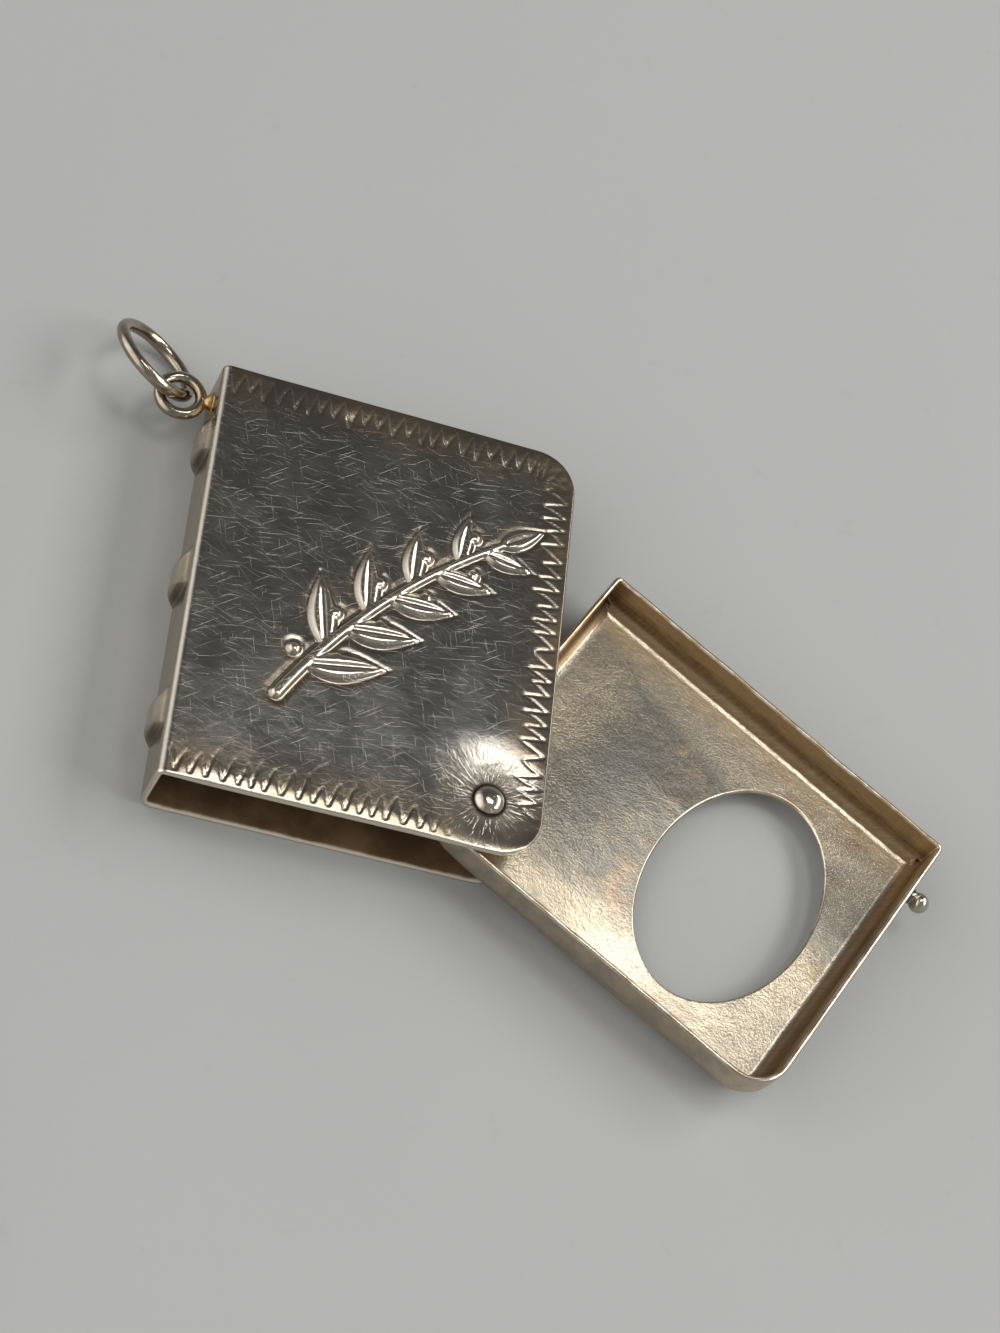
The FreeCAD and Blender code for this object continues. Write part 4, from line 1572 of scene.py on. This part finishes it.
def cover_finish(case):
    """Tarnished cover: steel grey with fine scratches, umber towards its edges and brown inside.

    It is bare on what stands out. Along its foot edge the worn metal is also a painted highlight, and the
    front fold has a painted highlight line.
    """
    colours = case.colours
    material, tree, shader = new_finish("worn_cover")
    place = millimetres(tree)
    edge = mark(tree, "edge")
    inside = mark(tree, "inside")
    foot_edge = mark(tree, "foot_edge")
    tarnish = use_group(tree, tarnish_group(), place=place, patch_size=3.6)
    scratches = use_group(tree, scratch_group(), place=place, line_length=2.4, line_width=0.042)
    wear = use_group(tree, wear_group(), place=place, edge_distance=edge, reach=0.28)["Wear"]
    near_edge = ease(tree, mark(tree, "border_inset"), 4.2, 0.8)
    crown = ease(tree, mark(tree, "raised"), 0.35, 1.0)
    base = front_colour(tree, case, near_edge, mark(tree, "stain"), tarnish["Patches"])
    scuffed = scaled(tree, scratches["Hairs"], 0.24)
    scuffed = calculate(tree, "ADD", scuffed, scaled(tree, scratches["Lines"], 0.2), clamp=True)
    base = tint(tree, base, colours.rubbed_and_highlight, scuffed, strength=span(tree, near_edge, 1.0, 0.3))
    base = tint(tree, base, colours.rubbed_and_highlight, crown, strength=0.8)
    cut, bright = zigzag(tree, case.border)
    # Cut silver in the border, brightened as a painted highlight on the fore-edge, the head and the lower
    # ends
    groove = blend(tree, bright, rgba(colours.dull_cut), rgba(colours.bright_cut_and_highlight))
    base = blend(tree, scaled(tree, cut, 0.8), base, groove)
    seat, hammered, dish_wear_and_highlight = rivet_marks(tree, case, place)
    # Worn ring round the rivet, brightened as a painted highlight
    base = tint(tree, base, colours.rubbed_and_highlight, dish_wear_and_highlight, strength=0.4)
    base = tint(tree, base, colours.rubbed_and_highlight, hammered, strength=0.24)
    # Painted shade round the rivet's head
    base = tint(tree, base, colours.grime_and_shade, seat)
    rim = ease(tree, edge, 0.22, 0.06)
    base = tint(tree, base, colours.grime_and_shade, rim, strength=span(tree, foot_edge, 0.7, 0.0))
    # Worn metal along the edges is kept only at the foot edge, where it also paints the highlight of the
    # rolled edge
    bare = strongest(tree, (wear, ease(tree, edge, 0.3, 0.1)))
    # The front fold gets a painted highlight line
    bare = strongest(tree, (scaled(tree, bare, foot_edge), mark(tree, "crease")))
    base = tint(tree, base, colours.rubbed_and_highlight, bare)
    lining = tint(tree, rgba(colours.inside_brown), colours.inside_gold, tarnish["Patches"])
    lining = tint(tree, lining, colours.grime_and_shade, tarnish["Specks"])
    lining = tint(tree, lining, colours.rubbed_and_highlight, wear)
    feed(tree, shader.inputs["Base Color"], blend(tree, inside, base, lining))
    feed(tree, shader.inputs["Metallic"], span(tree, inside, 1.0, 0.45))
    dull = span(tree, tarnish["Patches"], 0.14, 0.2)
    dull = add_part(tree, dull, scratches["Hairs"], 0.06)
    dull = add_part(tree, dull, crown, -0.1)
    dull = add_part(tree, dull, inside, 0.25)
    feed(tree, shader.inputs["Roughness"], dull)
    height = scaled(tree, scratches["Lines"], span(tree, near_edge, -0.1, -0.02))
    height = add_part(tree, height, hammered, 0.13)
    height = add_part(tree, height, noise(tree, place, 1.4, detail=3.0), 0.3)
    set_bump(tree, shader, height, 0.05 * MM)
    return material


def dark_floor_spots(tree, place):
    """Soft darker grey spots on the tray's floor: full strength at the core of each, 0 at its reach."""
    spots = []
    for x, y, reach, strength in DARK_FLOOR_SPOTS:
        away = vector_math(tree, "DISTANCE", place, (x, y, DARK_SPOT_HEIGHT)).outputs["Value"]
        spots.append(scaled(tree, ease(tree, away, reach, DARK_SPOT_CORE_SHARE * reach), strength))
    return strongest(tree, spots)


def floor_colour(tree, colours, place, patches, stains):
    """Tray's floor: pale near the walls, with grey patches, peach stains, darker grey spots and fine speckle.
    """
    by_wall = ease(tree, mark(tree, "from_brim"), 6.8, 2.6)
    clean = add_part(tree, scaled(tree, by_wall, 0.7), patches, 0.4)
    floor = tint(tree, rgba(colours.satin_grey), colours.satin, clean)
    floor = tint(tree, floor, colours.peach, stains, strength=0.6)
    darkened = dark_floor_spots(tree, place)
    floor = tint(tree, floor, colours.satin_grey, darkened, strength=span(tree, patches, 1.0, 0.6))
    speckle = ease(tree, noise(tree, place, 5.0, detail=3.0, roughness=0.7), 0.48, 0.68)
    return tint(tree, floor, colours.satin_grey, speckle, strength=0.4)


def wall_colour(tree, colours, place, up_wall):
    """Tray's inner walls: brown below as painted shade and gold above, with streaks along them where the two
    meet.
    """
    drawn = vector_math(tree, "MULTIPLY", place, WALL_STREAKS).outputs[0]
    streaks = span(tree, noise(tree, drawn, 1.0, detail=4.0, roughness=0.65), -0.6, 0.6)
    # Painted shade: the lower part of the walls stays brown
    gold = ease(tree, calculate(tree, "ADD", up_wall, streaks), 0.3, 0.75)
    return tint(tree, rgba(colours.wall_brown), colours.wall_gold, gold)


def tray_finish(case):
    """Satin tray: pale mottled floor with a painted highlight along its brim, gold to brown inner walls with
    painted shade low on them, and dull grey outside.
    """
    name = "satin_tray"
    if name in bpy.data.materials:
        return bpy.data.materials[name]
    colours = case.colours
    material, tree, shader = new_finish(name)
    place = millimetres(tree)
    up_wall = mark(tree, "up_wall")
    inside = mark(tree, "inside")
    tarnish = use_group(tree, tarnish_group(), place=place, patch_size=5.0)
    scratches = use_group(tree, scratch_group(), place=place, line_length=2.0, line_width=0.12)
    wear = use_group(tree, wear_group(), place=place, edge_distance=mark(tree, "edge"), reach=0.25)["Wear"]
    stains = ease(tree, noise(tree, place, 0.3, detail=4.0), 0.52, 0.7)
    uneven = span(tree, noise(tree, place, 2.2, detail=3.0), -0.012, 0.012)
    on_wall = ease(tree, calculate(tree, "ADD", up_wall, uneven), 0.004, 0.022)
    floor = floor_colour(tree, colours, place, tarnish["Patches"], stains)
    lining = blend(tree, on_wall, floor, wall_colour(tree, colours, place, up_wall))
    lining = tint(tree, lining, colours.wall_brown, tarnish["Specks"])
    # Painted highlight: a lumpy bright line where the floor turns up into the walls
    lumpy = span(tree, noise(tree, place, 1.7, detail=3.0), 0.0, 0.36)
    brim = remaining(tree, ease(tree, mark(tree, "from_brim"), 0.0, lumpy))
    lining = tint(tree, lining, colours.bright_cut_and_highlight, brim, strength=0.8)
    mottle = ease(tree, noise(tree, place, 0.9, detail=5.0, roughness=0.65), 0.38, 0.66)
    outside = tint(tree, rgba(colours.wall_outside), colours.satin_grey, mottle, strength=0.55)
    outside = tint(tree, outside, colours.peach, stains, strength=0.5)
    base = blend(tree, inside, outside, lining)
    base = tint(tree, base, colours.rubbed_and_highlight, scratches["Hairs"], strength=0.12)
    worn_through = ease(tree, noise(tree, place, 0.9, detail=3.0), 0.42, 0.62)
    base = tint(tree, base, colours.rubbed_and_highlight, wear, strength=worn_through)
    feed(tree, shader.inputs["Base Color"], base)
    dull = span(tree, tarnish["Patches"], 0.26, 0.2)
    dull = add_part(tree, dull, scaled(tree, on_wall, inside), 0.22)
    dull = add_part(tree, dull, wear, -0.12)
    feed(tree, shader.inputs["Roughness"], dull)
    height = scaled(tree, noise(tree, place, 6.0, detail=3.0, roughness=0.7), 0.32)
    height = add_part(tree, height, noise(tree, place, 0.6), 0.6)
    height = add_part(tree, height, scratches["Lines"], -0.03)
    set_bump(tree, shader, height, 0.04 * MM)
    return material


def polished_finish(case):
    """Polished rivet and ball, with painted shade where they meet the sheet."""
    name = "polished_metal"
    if name in bpy.data.materials:
        return bpy.data.materials[name]
    colours = case.colours
    material, tree, shader = new_finish(name)
    place = millimetres(tree)
    tarnish = use_group(tree, tarnish_group(), place=place, patch_size=0.8)
    scratches = use_group(tree, scratch_group(), place=place, line_length=0.8, line_width=0.08)
    base = tint(tree, rgba(colours.polished), colours.wire, tarnish["Patches"], strength=0.4)
    # Painted shade at the foot of the rivet's dome and on the ball's neck by the wall
    base = tint(tree, base, colours.grime_and_shade, mark(tree, "crevice"), strength=0.85)
    feed(tree, shader.inputs["Base Color"], base)
    dull = add_part(tree, span(tree, tarnish["Patches"], 0.08, 0.14), scratches["Lines"], 0.1)
    feed(tree, shader.inputs["Roughness"], dull)
    height = add_part(tree, noise(tree, place, 1.6), scratches["Lines"], -0.2)
    set_bump(tree, shader, height, 0.03 * MM)
    return material


def wire_finish(case):
    """Drawn wire with brown stains, and yellow solder where it joins the spine."""
    colours = case.colours
    material, tree, shader = new_finish("stained_wire")
    place = millimetres(tree)
    tarnish = use_group(tree, tarnish_group(), place=place, patch_size=1.2)
    scratches = use_group(tree, scratch_group(), place=place, line_length=0.9, line_width=0.08)
    solder = scaled(tree, mark(tree, "solder"), span(tree, tarnish["Patches"], 0.6, 1.0))
    base = tint(tree, rgba(colours.wire), colours.wire_stain, tarnish["Patches"], strength=0.65)
    base = tint(tree, base, colours.rubbed_and_highlight, scratches["Lines"], strength=0.6)
    base = tint(tree, base, colours.solder, solder)
    feed(tree, shader.inputs["Base Color"], base)
    dull = add_part(tree, span(tree, tarnish["Patches"], 0.1, 0.17), solder, 0.12)
    feed(tree, shader.inputs["Roughness"], dull)
    height = add_part(tree, noise(tree, place, 1.3, detail=3.0), solder, noise(tree, place, 4.0))
    set_bump(tree, shader, height, 0.03 * MM)
    return material


def table_finish(case):
    """Pale table top with faint clouds and scuffs."""
    colours = case.colours
    material, tree, shader = new_finish("table_top")
    shader.inputs["Metallic"].default_value = 0.0
    shader.inputs["Specular IOR Level"].default_value = 0.25
    place = millimetres(tree)
    clouds = noise(tree, place, 0.03, detail=3.0)
    scuffs = ease(tree, noise(tree, place, 0.35, detail=5.0, roughness=0.7), 0.6, 0.78)
    amount = add_part(tree, span(tree, clouds, 0.0, 0.3), scuffs, 0.35)
    base = tint(tree, rgba(colours.table), colours.table_scuff, amount)
    feed(tree, shader.inputs["Base Color"], base)
    feed(tree, shader.inputs["Roughness"], span(tree, clouds, 0.45, 0.6))
    set_bump(tree, shader, noise(tree, place, 1.5, detail=3.0), 0.02 * MM)
    return material


# Stage

class STAMPCASE_OT_stage(bpy.types.Operator):
    """Lay the table, set the lamps and the camera"""

    bl_idname = "stamp_case.stage"
    bl_label = "Table, lamps and camera"

    TABLE_TICKS = 9
    NEAR_CLIP_SHARE = 0.02

    # Lamps: places and sizes in metres
    WINDOW_PLACE = (0.943, 0.166, 0.803)
    WINDOW_HIGH = 0.45
    WINDOW_WIDE = 1.3
    CEILING_PLACE = (0.138, 0.104, 0.598)
    CEILING_WIDE = 0.18
    SOFT_WHITE = (1.0, 0.995, 0.985)

    # Room: sides that glow, the cosines where a glow ends and is full, and levels of light
    BRIGHT_SIDE = (0.60, -0.50, 0.62)
    BRIGHT_END = 0.3
    FILL_SIDE = (-0.90, -0.10, 0.38)
    FILL_END = 0.5
    GLOW_CORE = 0.95
    DIM_LEVEL = 0.13
    BRIGHT_LEVEL = 0.36
    FILL_LEVEL = 1.7
    HORIZON_LEVEL = 0.2
    HORIZON_REACH = (0.75, 0.05)

    def execute(self, context):
        case = settings()
        scene = context.scene
        scene.view_settings.view_transform = "Standard"
        self.lay_table(case)
        self.light_world(scene)
        window_size = (self.WINDOW_HIGH, self.WINDOW_WIDE)
        ceiling_size = (self.CEILING_WIDE, self.CEILING_WIDE)
        self.add_lamp("window", self.WINDOW_PLACE, window_size, case.stage.window_power)
        self.add_lamp("ceiling", self.CEILING_PLACE, ceiling_size, case.stage.ceiling_power)
        self.add_camera(case.stage, scene)
        return {"FINISHED"}

    def lay_table(self, case):
        """Flat square grid at the height of the back cover's underside."""
        reach = case.stage.table_size / 2
        ticks = np.linspace(-reach, reach, self.TABLE_TICKS)
        y, x = np.meshgrid(ticks, ticks, indexing="ij")
        points = np.stack((x, y, np.zeros_like(x)), axis=-1).reshape(-1, 3)
        faces = grid_quads(len(ticks), len(ticks)).tolist()
        table = make_piece("table_top", points, faces, table_finish(case))

    def light_world(self, scene):
        """Soft room light: dim overhead, brighter towards two sides and near the horizon."""
        world = bpy.data.worlds.new("room")
        scene.world = world
        world.use_nodes = True
        tree = world.node_tree
        tree.nodes.clear()
        facing = add_node(tree, "ShaderNodeTexCoord").outputs["Generated"]
        bright = self.glow(tree, facing, self.BRIGHT_SIDE, self.BRIGHT_END)
        level = span(tree, bright, self.DIM_LEVEL, self.BRIGHT_LEVEL)
        fill = self.glow(tree, facing, self.FILL_SIDE, self.FILL_END)
        level = add_part(tree, level, fill, self.FILL_LEVEL)
        height = add_node(tree, "ShaderNodeSeparateXYZ", {0: facing}).outputs["Z"]
        low = ease(tree, calculate(tree, "ABSOLUTE", height), *self.HORIZON_REACH)
        level = add_part(tree, level, low, self.HORIZON_LEVEL)
        light = {"Color": rgba(self.SOFT_WHITE), "Strength": level}
        background = add_node(tree, "ShaderNodeBackground", light)
        output = tree.nodes.new("ShaderNodeOutputWorld")
        tree.links.new(background.outputs[0], output.inputs["Surface"])

    def glow(self, tree, facing, side, end):
        """Soft patch of the room's light: 1 towards a side, down to 0 where the cosine to it is the end."""
        direction = tuple(Vector(side).normalized())
        towards = vector_math(tree, "DOT_PRODUCT", facing, direction).outputs["Value"]
        return ease(tree, towards, end, self.GLOW_CORE)

    def add_lamp(self, name, place, size, watts):
        """Soft lamp that faces the case; the second of its sizes runs along the book's height."""
        light = bpy.data.lights.new(name, "AREA")
        light.shape = "RECTANGLE"
        light.size = size[0]
        light.size_y = size[1]
        light.energy = watts
        light.color = self.SOFT_WHITE
        lamp = bpy.data.objects.new(name, light)
        back = Vector(place).normalized()
        side = Vector((0.0, 1.0, 0.0)).cross(back).normalized()
        turn = Matrix((side, back.cross(side), back)).transposed()
        lamp.matrix_world = Matrix.Translation(place) @ turn.to_4x4()
        bpy.context.scene.collection.objects.link(lamp)

    def add_camera(self, stage, scene):
        """Camera by what it aims at, how far off and how high it is, and its roll."""
        level = math.cos(stage.elevation)
        forward = Vector((
            math.sin(stage.heading) * level,
            math.cos(stage.heading) * level,
            -math.sin(stage.elevation),
        ))
        flat_right = Vector((math.cos(stage.heading), -math.sin(stage.heading), 0.0))
        flat_up = flat_right.cross(forward)
        right = flat_right * math.cos(stage.roll) + flat_up * math.sin(stage.roll)
        up = right.cross(forward)
        place = Vector((stage.aim_x, stage.aim_y, 0.0)) - forward * stage.distance
        lens = bpy.data.cameras.new("camera")
        lens.lens = stage.focal
        lens.clip_start = stage.distance * self.NEAR_CLIP_SHARE
        camera = bpy.data.objects.new("camera", lens)
        turn = Matrix((right, up, -forward)).transposed()
        camera.matrix_world = Matrix.Translation(place) @ turn.to_4x4()
        scene.collection.objects.link(camera)
        scene.camera = camera


# Panel and registration

OPERATORS = (
    STAMPCASE_OT_stage,
    STAMPCASE_OT_cover,
    STAMPCASE_OT_tray,
    STAMPCASE_OT_pivot,
    STAMPCASE_OT_thumb_ball,
    STAMPCASE_OT_wire,
)


class STAMPCASE_PT_pieces(bpy.types.Panel):
    """List the steps that make the stamp case"""

    bl_idname = "STAMPCASE_PT_pieces"
    bl_label = "Stamp case"
    bl_space_type = "VIEW_3D"
    bl_region_type = "UI"
    bl_category = "Stamp case"

    def draw(self, context):
        for operator in OPERATORS:
            self.layout.operator(operator.bl_idname)


CLASSES = (
    CoverSizes,
    SprigSizes,
    BorderSizes,
    PivotSizes,
    TraySizes,
    BallSizes,
    WireSizes,
    FinishColours,
    StageSettings,
    StampCaseSettings,
    *OPERATORS,
    STAMPCASE_PT_pieces,
)


def register():
    for item in CLASSES:
        bpy.utils.register_class(item)
    bpy.types.Scene.stamp_case = PointerProperty(type=StampCaseSettings)


def unregister():
    del bpy.types.Scene.stamp_case
    for item in reversed(CLASSES):
        bpy.utils.unregister_class(item)


def main():
    register()
    bpy.ops.stamp_case.stage()
    bpy.ops.stamp_case.cover()
    bpy.ops.stamp_case.tray()
    bpy.ops.stamp_case.pivot()
    bpy.ops.stamp_case.thumb_ball()
    bpy.ops.stamp_case.wire()


if __name__ == "__main__":
    main()
